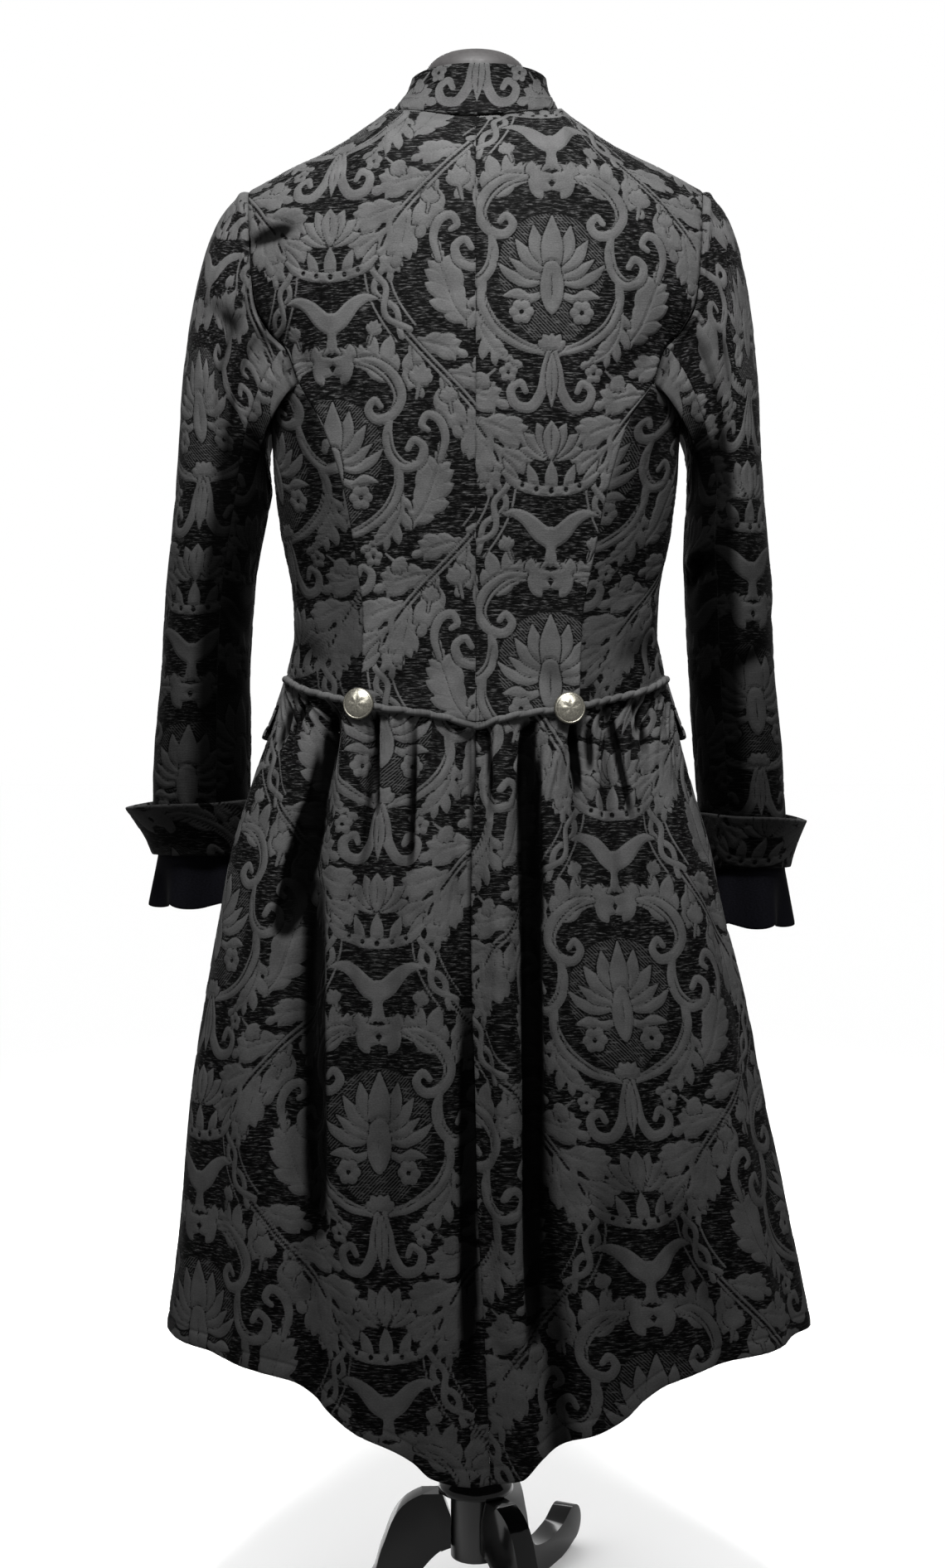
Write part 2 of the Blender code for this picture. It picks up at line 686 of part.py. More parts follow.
def cuff_shape(column):
    """A ring turned back up over the sleeve's end, which flares to its rim."""
    def shape(u, v):
        turn = 360 * u
        outer = np.clip(np.cos(np.radians(turn - CUFF_TURN)), 0, 1) ** 4
        inner = np.clip(-np.cos(np.radians(turn + CUFF_TURN)), 0, 1)
        flare = (CUFF_FLARE[column] * (1 - 0.75 * inner) + CUFF_TIP[column] * outer) * v ** 1.3
        base = SLEEVE_END[column] - CUFF_DROP
        rim = CUFF_HEIGHT - CUFF_TIP_DROP * outer + CUFF_WAVE * np.sin(np.radians(3 * turn))
        height = base + v * rim
        return sleeve_ring(column, turn, height, CUFF_STAND + flare)

    return shape


def frill_shape(column):
    """A gathered ring inside the sleeve's end, with a scalloped lower edge."""
    def shape(u, v):
        turn = 360 * u
        wave = np.sin(np.radians(FRILL_WAVES * turn + 40))
        scallop = FRILL_SCALLOP * np.abs(np.sin(np.radians(FRILL_WAVES * turn / 2 + 10)))
        top = SLEEVE_END[column] + FRILL_TOP
        height = top - v * (FRILL_LENGTH[column] + FRILL_TOP + scallop)
        free = np.clip((v - FRILL_HELD) / (1 - FRILL_HELD), 0, 1)
        inset = FRILL_INSET * (1 - free) + FRILL_WAVE_DEPTH * wave * free
        return sleeve_ring(column, turn, height, inset)

    return shape


# Walls and solids


def outward_normals(shape, u, v, closed):
    """The surface's unit normals, from points a little to each side."""
    step = 0.002
    u0 = u - step if closed else np.clip(u - step, 0, 1)
    u1 = u + step if closed else np.clip(u + step, 0, 1)
    v0 = np.clip(v - step, 0, 1)
    v1 = np.clip(v + step, 0, 1)
    normal = np.cross(shape(u1, v) - shape(u0, v), shape(u, v1) - shape(u, v0))
    return normal / np.linalg.norm(normal, axis=-1, keepdims=True)


def wall(name, shape, columns, rows, made, about=(0, 0), thickness=CLOTH, closed=False, level=True):
    """A cloth wall: a grid laid on a shape, copied and set in by its thickness, and joined.

    It is set in towards the upright line through about. A level edge at v = 0 is set in flat,
    so that two pieces meet along it with an even gap.
    """
    bm = bmesh.new()
    grid = bmesh.ops.create_grid(bm, x_segments=columns, y_segments=rows, size=0.5)["verts"]
    place = {vert: (vert.co.x + 0.5, vert.co.y + 0.5) for vert in grid}
    if closed:
        ends = {round(v, 5): vert for vert, (u, v) in place.items() if u < NUDGE}
        seam = {vert: ends[round(v, 5)] for vert, (u, v) in place.items() if u > 1 - NUDGE}
        bmesh.ops.weld_verts(bm, targetmap=seam)
        place = {vert: at for vert, at in place.items() if vert.is_valid}
    grid = list(place)
    u, v = np.array(list(place.values())).T
    outer = shape(u, v)
    normals = outward_normals(shape, u, v, closed)
    if np.sum(normals[:, :2] * (outer[:, :2] - about)) < 0:
        normals = -normals
    if level:
        edge = v < NUDGE
        normals[edge, 2] = 0
        normals[edge] /= np.linalg.norm(normals[edge], axis=-1, keepdims=True)
    inner = outer - normals * thickness
    rims = [edge for edge in bm.edges if edge.is_boundary]
    pairs = bmesh.ops.duplicate(bm, geom=list(bm.faces))["vert_map"]
    for i, vert in enumerate(grid):
        vert.co = outer[i]
        pairs[vert].co = inner[i]
    for edge in rims:
        first, second = edge.verts
        bm.faces.new((first, second, pairs[second], pairs[first]))
    return add_object(name, bm, made)


def turned(name, profile, made, place, segments=24, smooth=40):
    """A closed solid turned about its own z axis from a profile of radius and height."""
    bm = bmesh.new()
    verts = [bm.verts.new((radius, 0, height)) for radius, height in profile]
    edges = [bm.edges.new(pair) for pair in zip(verts, verts[1:])]
    bmesh.ops.spin(bm, geom=verts + edges, cent=(0, 0, 0), axis=(0, 0, 1), angle=2 * math.pi,
                   steps=segments, use_merge=True)
    bmesh.ops.remove_doubles(bm, verts=bm.verts, dist=1e-6)
    bmesh.ops.transform(bm, matrix=place, verts=bm.verts)
    return add_object(name, bm, made, smooth)


def facing(point, normal):
    """A placement whose z axis runs along a normal, from a point."""
    turn = Vector(normal).to_track_quat("Z", "Y").to_matrix().to_4x4()
    return Matrix.Translation(Vector(point)) @ turn


# Pieces of the coat


def make_body(brocade):
    rows = LOW_ROWS + len(HIGH_SHARES)
    front_rows = LOW_ROWS + len(FRONT_HIGH_SHARES)
    for column, side in (("left", 1.0), ("right", -1.0)):
        wall("back_" + column, back_shape(side), BACK_COLUMNS, rows, brocade)
        wall("side_" + column, side_shape(side), SIDE_COLUMNS, LOW_ROWS, brocade)
        wall("front_" + column, front_shape(side), BACK_COLUMNS, front_rows, brocade)
    wall("collar", collar_shape, COLLAR_COLUMNS, 3, brocade)


def make_skirt(brocade):
    for column, side in (("left", 1.0), ("right", -1.0)):
        wall("skirt_back_" + column, skirt_back_shape(side), SKIRT_BACK_COLUMNS, SKIRT_ROWS, brocade)
        wall("skirt_front_" + column, skirt_front_shape(side), SKIRT_FRONT_COLUMNS, SKIRT_ROWS, brocade)
        wall("flap_" + column, flap_shape(side), 8, 3, brocade, thickness=FLAP_WALL)


def make_sleeves(brocade, voile):
    for column, side in (("left", 1.0), ("right", -1.0)):
        middle = (side * SLEEVE.at(column, 0.1), SLEEVE.at("middle", 0.1))
        end = (side * SLEEVE.at(column, 0.35), SLEEVE.at("middle", 0.35))
        upper = sleeve_shape(column, FORE_SEAM - 360, HIND_SEAM)
        under = sleeve_shape(column, HIND_SEAM, FORE_SEAM)
        wall("sleeve_upper_" + column, upper, UPPER_COLUMNS, SLEEVE_ROWS, brocade, middle, level=False)
        wall("sleeve_under_" + column, under, UNDER_COLUMNS, SLEEVE_ROWS, brocade, middle, level=False)
        wall("cuff_" + column, cuff_shape(column), CUFF_COLUMNS, 3, brocade, end, closed=True)
        wall("frill_" + column, frill_shape(column), FRILL_COLUMNS, 4, voile, end, FRILL_WALL, True)


def piping(name, angles, made):
    """A round welt along the waist seam, from one signed angle to another."""
    bm = bmesh.new()
    steps = max(2, int(abs(angles[1] - angles[0]) / PIPING_STEP))
    loops = []
    for angle in np.linspace(angles[0], angles[1], steps + 1):
        side = 1.0 if angle >= 0 else -1.0
        reach = PIPING_RADIUS + PIPING_STAND
        middle = skirt_point(np.array(abs(angle)), np.array(0.0), side, reach)
        outside = skirt_point(np.array(abs(angle)), np.array(0.0), side, reach + 0.01)
        out = Vector((outside - middle).tolist()).normalized()
        ring = []
        for i in range(8):
            turn = math.radians(45 * i + 22.5)
            offset = out * math.cos(turn) + Vector((0, 0, 1)) * math.sin(turn)
            ring.append(bm.verts.new(Vector(middle.tolist()) + offset * PIPING_RADIUS))
        loops.append([bm.edges.new((ring[i - 1], ring[i])) for i in range(8)])
    for first, second in zip(loops, loops[1:]):
        bmesh.ops.bridge_loops(bm, edges=first + second)
    bmesh.ops.holes_fill(bm, edges=loops[0] + loops[-1], sides=8)
    return add_object(name, bm, made)


def button_profile(radius, height, shank_radius, shank):
    """A domed button over its shank, from the crown's middle to the shank's foot."""
    profile = [(0.0, shank + height)]
    for i in range(1, 5):
        turn = math.radians(90 * i / 4)
        profile.append((radius * math.sin(turn), shank + height * (0.25 + 0.75 * math.cos(turn))))
    profile += [(radius * 0.96, shank), (shank_radius, shank), (shank_radius, 0.0), (0.0, 0.0)]
    return profile


def make_trim(brocade, pewter):
    left = BACK_BUTTON_ANGLE["left"]
    right = -BACK_BUTTON_ANGLE["right"]
    clear = math.degrees((SHANK_RADIUS + GAP * 2) / TRIM_RADIUS["skirt"])
    piping("piping_back", (right + clear, left - clear), brocade)
    piping("piping_left", (left + clear, PIPING_END), brocade)
    piping("piping_right", (-PIPING_END, right - clear), brocade)
    for column, side in (("left", 1.0), ("right", -1.0)):
        angle = np.array(BACK_BUTTON_ANGLE[column])
        at = skirt_point(angle, np.array(0.0), side, SHANK_FOOT[column])
        away = skirt_point(angle, np.array(0.0), side, 0.01)
        profile = button_profile(BACK_BUTTON_RADIUS, BACK_BUTTON_HEIGHT, SHANK_RADIUS, SHANK_LENGTH)
        turned("button_back_" + column, profile, pewter, facing(at, away - at), 16)
    first, last = FRONT_BUTTON_SHARES
    for i in range(FRONT_BUTTONS):
        share = np.array([first + (last - first) * i / (FRONT_BUTTONS - 1)])
        part = np.clip(-FRONT_BUTTON_X / BODY.at("half_width", share), 0, 1) ** (BODY_POWER / 2)
        angle = 180 - np.degrees(np.arcsin(part))
        at = body_point(angle, share, -1.0)[0]
        beside = body_point(angle - 2, share, -1.0)[0]
        above = body_point(angle, share + 0.01, -1.0)[0]
        normal = np.cross(beside - at, above - at)
        normal *= -np.sign(normal[1]) / np.linalg.norm(normal)
        profile = button_profile(FRONT_BUTTON_RADIUS, FRONT_BUTTON_HEIGHT, FRONT_SHANK_RADIUS,
                                 FRONT_BUTTON_SHANK)
        place = facing(at + normal * FRONT_BUTTON_SEATS[i], normal)
        turned("button_front_%d" % (i + 1), profile, pewter, place, 12)


# The dress form and its stand


def form_section(wide, back, front):
    """A level section of the form: x and y all round."""
    angles = np.radians(np.linspace(0, 360, FORM_COLUMNS + 1)[:-1])
    sine = np.sin(angles)
    cosine = np.cos(angles)
    x = wide * np.sign(sine) * np.abs(sine) ** (2 / BODY_POWER)
    y = np.where(cosine > 0, back, front) * np.sign(cosine) * np.abs(cosine) ** (2 / BODY_POWER)
    return x, y


def form_ring(share):
    """One ring of the form: the coat's own section, set in, and narrowed at the shoulders."""
    clear = CLOTH + FORM_CLEAR
    wide = min(BODY.at("half_width", share) - clear, FORM_HALF_MAX)
    x, y = form_section(wide, BODY.at("back", share) - clear, BODY.at("front", share) - clear)
    turn = (math.pi / 2) * min(max((1 - share) / (1 - ROUND_SHARE), 0), 1)
    ridge = ridge_height(np.abs(x)) - CLOTH - FORM_GAP
    z = FORM_WAIST + (ridge - ROUNDING - FORM_WAIST) * min(share / ROUND_SHARE, 1)
    if share >= ROUND_SHARE:
        z = z + ROUNDING * math.cos(turn)
    return np.stack([x, y * math.sin(turn), z], axis=-1)


def hip_ring(height, wide, back, front):
    x, y = form_section(wide, back, front)
    return np.stack([x, y, np.full_like(x, height)], axis=-1)


def make_form(jersey, plastic):
    rings = [hip_ring(*row) for row in FORM_HIPS.rows]
    rings += [form_ring(share) for share in FORM_SHARES]
    bm = bmesh.new()
    loops = []
    for ring in rings:
        verts = [bm.verts.new(point) for point in ring]
        loops.append([bm.edges.new((verts[i - 1], verts[i])) for i in range(len(verts))])
    for first, second in zip(loops, loops[1:]):
        bmesh.ops.bridge_loops(bm, edges=first + second)
    bmesh.ops.holes_fill(bm, edges=loops[0], sides=0)
    bmesh.ops.holes_fill(bm, edges=loops[-1], sides=0)
    torso = add_object("form_torso", bm, jersey, 50)
    neck = bmesh.new()
    bmesh.ops.create_cone(neck, cap_ends=True, segments=24, radius1=1.0, radius2=1.0, depth=1.0)
    height = FORM_NECK_TOP - FORM_NECK_FOOT
    bmesh.ops.scale(neck, vec=(FORM_NECK_HALF, FORM_NECK_DEPTH, height), verts=neck.verts)
    bmesh.ops.translate(neck, vec=(0, FORM_NECK_Y, FORM_NECK_TOP - height / 2), verts=neck.verts)
    stem = add_object("form_neck_guide", neck, jersey)
    stem.hide_render = True
    stem.display_type = "WIRE"
    join = torso.modifiers.new("Neck", "BOOLEAN")
    join.operation = "UNION"
    join.solver = "EXACT"
    join.object = stem
    cap = CAP.rows.tolist() + [(0.0, 0.0)]
    place = Matrix.Translation((0, FORM_NECK_Y, FORM_NECK_TOP + GAP))
    turned("form_neck_cap", cap, plastic, place, 24)


def leg_outline():
    """The flat board's outline: out along its upper edge, round the scroll, and back below."""
    ways = np.linspace(0, 1, 15)
    middle = np.stack([LEG.at("reach", ways), LEG.at("height", ways)], axis=-1)
    run = np.gradient(middle, axis=0)
    run /= np.linalg.norm(run, axis=-1, keepdims=True)
    across = np.stack([-run[:, 1], run[:, 0]], axis=-1) * LEG.at("half", ways)[:, None]
    upper = middle + across
    lower = middle - across
    end = middle[-1]
    radius = float(LEG.at("half", 1.0))
    first = math.atan2(across[-1][1], across[-1][0])
    turns = first - np.pi * np.arange(1, 6) / 6
    scroll = end + radius * np.stack([np.cos(turns), np.sin(turns)], axis=-1)
    return np.concatenate([upper, scroll, lower[::-1]])


def cut_flat(bm, place, normal):
    """Takes away all beyond a plane, and closes the cut."""
    parts = list(bm.verts) + list(bm.edges) + list(bm.faces)
    cut = bmesh.ops.bisect_plane(bm, geom=parts, dist=1e-6, plane_co=place, plane_no=normal,
                                 clear_outer=True)["geom_cut"]
    bmesh.ops.holes_fill(bm, edges=[item for item in cut if isinstance(item, bmesh.types.BMEdge)])


def make_leg(index, azimuth, made):
    """One board leg, turned about the column, with a flat foot on the floor."""
    bm = bmesh.new()
    verts = [bm.verts.new((0, -reach, height)) for reach, height in leg_outline()]
    face = bm.faces.new(verts)
    moved = bmesh.ops.extrude_face_region(bm, geom=[face])["geom"]
    shift = [item for item in moved if isinstance(item, bmesh.types.BMVert)]
    bmesh.ops.translate(bm, vec=(LEG_THICKNESS, 0, 0), verts=shift)
    bmesh.ops.translate(bm, vec=(-LEG_THICKNESS / 2, 0, 0), verts=bm.verts)
    bmesh.ops.recalc_face_normals(bm, faces=bm.faces)
    rims = [edge for edge in bm.edges if len({round(v.co.x, 5) for v in edge.verts}) == 1]
    bmesh.ops.bevel(bm, geom=rims, offset=LEG_BEVEL, offset_type="OFFSET", segments=1, profile=0.5,
                    affect="EDGES", material=-1, clamp_overlap=True)
    cut_flat(bm, (0, 0, 0), (0, 0, -1))
    cut_flat(bm, (0, 0, FLANGE_BASE - GAP), (0, 0, 1))
    cut_flat(bm, (0, -COLUMN_RADIUS - GAP, 0), (0, 1, 0))
    turn = Matrix.Rotation(-math.radians(azimuth), 3, "Z")
    bmesh.ops.rotate(bm, cent=(0, 0, 0), matrix=turn, verts=bm.verts)
    return add_object("form_leg_%d" % index, bm, made, 35)


def make_stand(lacquer, steel):
    pole_top = FORM_HIPS.rows[0, 0] - GAP
    pole = [(0.0, pole_top), (POLE_RADIUS, pole_top), (POLE_RADIUS, POLE_FOOT), (0.0, POLE_FOOT)]
    turned("form_pole", pole, steel, Matrix.Identity(4), 20)
    low = FLANGE_BASE
    high = POLE_FOOT - GAP
    flange = [(0.0, high), (0.017, high), (0.021, high - 0.003), (0.030, low + 0.012),
              (0.0355, low + 0.007), (FLANGE_RADIUS, low + 0.004), (FLANGE_RADIUS, low), (0.0, low)]
    turned("form_flange", flange, lacquer, Matrix.Identity(4), 24)
    top = FLANGE_BASE - GAP
    column = [(0.0, top), (COLUMN_RADIUS, top), (COLUMN_RADIUS, COLUMN_FOOT + 0.002),
              (COLUMN_RADIUS - 0.002, COLUMN_FOOT), (0.0, COLUMN_FOOT)]
    turned("form_column", column, lacquer, Matrix.Identity(4), 24)
    for index, azimuth in enumerate(LEG_AZIMUTHS, 1):
        make_leg(index, azimuth, lacquer)


def centre_on_floor():
    """Moves all the pieces so that the middle of the whole lies over the origin."""
    items = list(bpy.data.objects)
    corners = np.array([vert.co for item in items for vert in item.data.vertices])
    low = corners.min(axis=0)
    high = corners.max(axis=0)
    shift = Matrix.Translation((-(low[0] + high[0]) / 2, -(low[1] + high[1]) / 2, -low[2]))
    for item in items:
        item.data.transform(shift)


def main():
    clear_scene()
    brocade = material("Black damask brocade", "#3A3A3B", 0.62)
    voile = material("Thin black cotton", "#0B0B0C", 0.8)
    pewter = material("Antique pewter", "#A7A498", 0.35, 1.0)
    jersey = material("Grey jersey over foam", "#8C8A88", 0.85)
    plastic = material("Grey satin plastic", "#9A9792", 0.4)
    lacquer = material("Gloss black lacquer", "#141414", 0.12)
    steel = material("Black painted steel", "#161616", 0.25)
    make_body(brocade)
    make_skirt(brocade)
    make_sleeves(brocade, voile)
    make_trim(brocade, pewter)
    make_form(jersey, plastic)
    make_stand(lacquer, steel)
    centre_on_floor()


main()
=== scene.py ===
import math

import bmesh
import bpy
import numpy as np
from bpy.props import FloatProperty, FloatVectorProperty, PointerProperty
from mathutils import Matrix, Vector


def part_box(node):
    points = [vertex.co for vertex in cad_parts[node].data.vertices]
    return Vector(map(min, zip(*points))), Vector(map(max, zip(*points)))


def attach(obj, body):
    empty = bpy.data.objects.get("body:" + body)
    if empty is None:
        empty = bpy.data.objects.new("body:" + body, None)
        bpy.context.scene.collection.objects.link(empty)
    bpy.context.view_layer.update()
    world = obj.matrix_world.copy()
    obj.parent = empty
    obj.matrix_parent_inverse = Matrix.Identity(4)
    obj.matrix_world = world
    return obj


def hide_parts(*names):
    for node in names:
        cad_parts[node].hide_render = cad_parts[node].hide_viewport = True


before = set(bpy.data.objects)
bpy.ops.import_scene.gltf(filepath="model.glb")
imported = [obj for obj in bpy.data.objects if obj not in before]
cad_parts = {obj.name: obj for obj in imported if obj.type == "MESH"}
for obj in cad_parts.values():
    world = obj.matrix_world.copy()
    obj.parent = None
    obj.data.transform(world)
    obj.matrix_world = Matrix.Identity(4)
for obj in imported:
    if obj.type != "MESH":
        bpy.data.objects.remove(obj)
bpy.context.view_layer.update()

bl_info = {
    "name": "Brocade tailcoat",
    "version": (1, 0, 0),
    "blender": (4, 5, 0),
    "location": "3D View > Sidebar > Tailcoat",
    "description": "Makes a damask brocade tailcoat on a dress form, and its studio",
    "category": "Object",
}

# Sizes are in metres, the floor is z = 0, the coat's front faces -Y and the wearer's left is +X.
# The coat's surfaces are worked out round the form's own upright axis, which stands here:
AXIS_LOW, AXIS_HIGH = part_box("form_column")
AXIS = np.array([(AXIS_LOW.x + AXIS_HIGH.x) / 2, (AXIS_LOW.y + AXIS_HIGH.y) / 2, 0.0])
SIDES = {"left": 1.0, "right": -1.0}


def linear(hex_colour):
    """A linear colour from an sRGB hex value."""
    channels = [int(hex_colour[i:i + 2], 16) / 255 for i in (1, 3, 5)]
    return [c / 12.92 if c <= 0.04045 else ((c + 0.055) / 1.055) ** 2.4 for c in channels] + [1.0]


def eased(t):
    """Rises gently from 0 to 1 as t does."""
    t = np.clip(t, 0, 1)
    return t * t * (3 - 2 * t)


class Table:
    """Rows of sizes with named columns, read smoothly by the first column."""

    def __init__(self, columns, rows):
        self.columns = columns.split()
        self.rows = np.array(rows.split(), float).reshape(-1, len(self.columns))

    def at(self, column, key):
        """A cubic curve through one column, with no overshoot between its rows."""
        keys = self.rows[:, 0]
        values = self.rows[:, self.columns.index(column)]
        steps = np.diff(keys)
        slopes = np.diff(values) / steps
        product = slopes[:-1] * slopes[1:]
        total = slopes[:-1] + slopes[1:]
        rising = product > 0
        tangents = np.zeros(len(keys))
        tangents[1:-1][rising] = 2 * product[rising] / total[rising]
        tangents[[0, -1]] = slopes[[0, -1]]
        key = np.clip(key, keys[0], keys[-1])
        i = np.clip(np.searchsorted(keys, key) - 1, 0, len(keys) - 2)
        t = (key - keys[i]) / steps[i]
        start = values[i] + steps[i] * tangents[i] * t * (1 - t) ** 2
        end = -steps[i] * tangents[i + 1] * t * t * (1 - t)
        return start + eased(t) * (values[i + 1] - values[i]) + end


# Gaps and walls
CLOTH = 0.002
WAIST_GAP = 0.0009
ARMHOLE_GAP = 0.0004

# Heights of the main lines
WAIST_HEIGHT = Table("angle height", """
    0 0.8765   12 0.8850   23 0.8895   37 0.8970
    60 0.9090  75 0.9180   90 0.9215   180 0.9215""")
SHOULDER_HEIGHT = 1.393
SHOULDER_HALF = 0.2217
SHOULDER_SLOPE = 0.470
NECK_LIFT = 0.011
NECK_DIP = 0.0040
NECK_HALF = 0.0815
NECK_REACH = {"front": 0.086, "back": 0.062}
NECK_DEPTH_SHARES = {"front": 0.86, "back": 0.93}
ROUNDING = 0.09
ROUND_SHARE = 0.8
WARP_START = 0.45
WARP_END = 0.95
WARP_CORNER = 0.5
LOWER_START = 0.6

# The body, from the waist seam (share 0) to the shoulder line (share 1)
BODY = Table("share half_width back front", """
    0.00 0.1836 0.096 0.102
    0.09 0.1772 0.089 0.098
    0.15 0.1780 0.089 0.099
    0.28 0.1893 0.101 0.108
    0.38 0.1955 0.111 0.117
    0.50 0.1985 0.120 0.122
    0.62 0.2060 0.125 0.119
    0.70 0.2270 0.125 0.110
    0.80 0.2430 0.119 0.096
    1.00 0.2500 0.108 0.078""")
BODY_POWER = 2.4

# The outer edge of the back: the side-back seam, then the armhole
BACK_EDGE = Table("share left right", """
    0.000 0.1080 0.0970   0.134 0.1065 0.1005   0.228 0.1125 0.1100
    0.347 0.1235 0.1235   0.476 0.1475 0.1455   0.544 0.1660 0.1660
    0.612 0.1780 0.1770   0.663 0.1960 0.1950   0.727 0.2090 0.2080
    0.810 0.2130 0.2120   1.000 0.2217 0.2217""")
ARMHOLE_BACK = 0.544
ARMHOLE_LOW = 0.49
SIDE_SEAM = 92.0

# The outer edge of the front: the side seam, then the armhole
FRONT_EDGE = Table("share angle", """
    0.000 92.0    0.490 92.0    0.505 101.0   0.530 112.0   0.570 122.5
    0.620 130.0   0.700 135.0   0.800 135.0   0.900 129.5   1.000 120.0""")

# How finely the body's rows lie, as on the solids
LOW_ROWS = 7
HIGH_SHARES = {"back": (0.608, 0.672, 0.736, 0.80, 0.87, 0.935, 1.0),
               "front": (0.505, 0.53, 0.57, 0.62, 0.68, 0.74, 0.80, 0.87, 0.935, 1.0)}
TIP_SHARE = 0.995
NUDGE = 1e-4

# The skirt, from the waist seam (fall 0) to the hem (fall 1)
SKIRT = Table("fall half_width back front middle swing", """
    0.000 0.1836 0.096 0.102 0.000 0.0000
    0.063 0.1925 0.103 0.107 0.003 0.0005
    0.148 0.2080 0.111 0.117 0.010 0.0038
    0.250 0.2270 0.118 0.132 0.020 0.0045
    0.380 0.2430 0.127 0.147 0.030 0.0034
    0.483 0.2560 0.134 0.156 0.033 0.0007
    0.638 0.2730 0.143 0.165 0.034 -0.0013
    0.793 0.2870 0.153 0.174 0.034 -0.0072
    0.896 0.2965 0.158 0.179 0.034 -0.0103
    1.000 0.3070 0.162 0.184 0.034 -0.0130""")
SKIRT_POWER = 2.15
HEM = Table("x height", """
    0.000 0.1990   0.040 0.2080   0.056 0.2212   0.080 0.2350
    0.112 0.2476   0.134 0.2600   0.149 0.2736   0.172 0.2862
    0.220 0.2945   0.270 0.3000   0.307 0.3050""")
HEM_FRONT_RISE = 0.018
GATHER_RAMP = 0.035
ROW_CROWDING = 1.15
SQUARE_FALL = 0.2
FRONT_OPENING = 5.0
FRONT_OPENING_TOP = 0.4

# Troughs of the skirt's pleats and gathers: where each runs at the waist, half way and at the hem in
# degrees, how wide it is there in degrees and how deep. A minus depth is a ridge. Left is plus.
FOLDS = Table("a_top a_mid a_hem w_top w_mid w_hem d_top d_mid d_hem", """
    44 41 30          5.0 8.0 8.0   0.022 0.026 0.012
    33 31 20          4.5 5.0 6.0   -0.006 -0.008 -0.004
    26.4 25 24        3.0 3.5 4.0   0.015 0.006 0.000
    16.5 15 12        3.5 4.5 5.0   0.007 0.008 0.004
    1.5 0 0           3.2 3.5 4.0   0.011 0.012 0.008
    -5.0 -5.2 -5.2    3.0 3.2 3.2   -0.005 -0.008 -0.006
    -11 -10.8 -10.5   3.0 3.8 4.0   0.012 0.022 0.016
    -26 -24 -22       3.0 4.0 5.0   0.011 0.005 0.000
    -37 -35 -33       3.0 4.0 5.0   0.012 0.007 0.000
    -58 -44 -44       6.0 8.0 9.0   0.004 0.006 0.012
    64 64 58          6.0 8.0 9.0   0.004 0.006 0.010
    -74 -74 -70       6.0 8.0 8.0   0.003 0.006 0.008
    110 108 106       7.0 8.0 9.0   0.004 0.008 0.012
    134 134 134       7.0 8.0 8.0   0.004 0.010 0.014
    158 157 156       6.0 7.0 7.0   0.003 0.007 0.010
    -112 -110 -108    7.0 8.0 9.0   0.004 0.008 0.011
    -138 -137 -136    7.0 8.0 8.0   0.004 0.010 0.013
    -160 -160 -159    6.0 7.0 7.0   0.003 0.006 0.010""")
FOLD_MIDDLE = 0.4

# The sleeve below the armhole, by the drop from the level ring at the underarm
SLEEVE_JOIN = 1.10
SLEEVE = Table("drop left right wide_left wide_right middle deep", """
    0.000 0.2468 0.2443 0.0460 0.0362 -0.008 0.058
    0.060 0.2560 0.2454 0.0433 0.0411 -0.013 0.057
    0.084 0.2599 0.2478 0.0425 0.0418 -0.017 0.056
    0.157 0.2665 0.2521 0.0431 0.0419 -0.030 0.054
    0.246 0.2729 0.2615 0.0474 0.0437 -0.052 0.051
    0.290 0.2760 0.2660 0.0485 0.0437 -0.066 0.050
    0.370 0.2790 0.2745 0.0480 0.0440 -0.092 0.047""")
SLEEVE_POWER = 2.15
SLEEVE_END = {"left": 0.7520, "right": 0.7390}
SLEEVE_MIDDLES = {"sleeve": 0.1, "cuff": 0.35}
HIND_SEAM = 113.0
FORE_SEAM = 247.0

# The sleeve's cap: which way the cloth leaves the armhole, above and below, and how it comes down
CAP_SHARE = 0.42
CAP_OUT = {"left": 0.60, "right": 0.54}
CAP_SINK = -0.27
UNDER_LEAVE = (0.55, -0.42)
CAP_ARRIVE = (0.07, -0.03, -1.0)

# The turned-back cuff and the frill below it
CUFF_HEIGHT = 0.054
CUFF_DROP = 0.008
CUFF_STAND = 0.0027
CUFF_FLARE = {"left": 0.0145, "right": 0.0120}
CUFF_TIP = {"left": 0.0110, "right": 0.0065}
CUFF_TIP_DROP = 0.008
CUFF_WAVE = 0.0015
CUFF_TURN = 20
FRILL_TOP = 0.004
FRILL_LENGTH = {"left": 0.056, "right": 0.063}
FRILL_WAVES = 6
FRILL_WAVE_DEPTH = 0.0065
FRILL_SCALLOP = 0.006
FRILL_INSET = -0.0035
FRILL_HELD = 0.22

# The stand collar
COLLAR_TOP = 1.503
COLLAR_TOP_FRONT = 1.452
COLLAR_TOP_HALF = 0.0655
COLLAR_TOP_X = -0.0035
COLLAR_TOP_BACK = 0.055
COLLAR_TOP_FRONT_DEPTH = 0.068
COLLAR_FRONT_GAP = 3.0
COLLAR_LIFT = 0.0011
COLLAR_BOW = 0.0035

# Pocket flaps, piping and buttons
FLAP_START = 84.0
FLAP_END = 140.0
FLAP_TOP = 0.006
FLAP_DEPTH = 0.095
FLAP_STAND = 0.0058
FLAP_WALL = 0.0018
PIPING_ARM = 0.11
PIPING_RADIUS = 0.0038
PIPING_STAND = 0.0012
PIPING_END = 76.0
PIPING_DIP = 0.0035
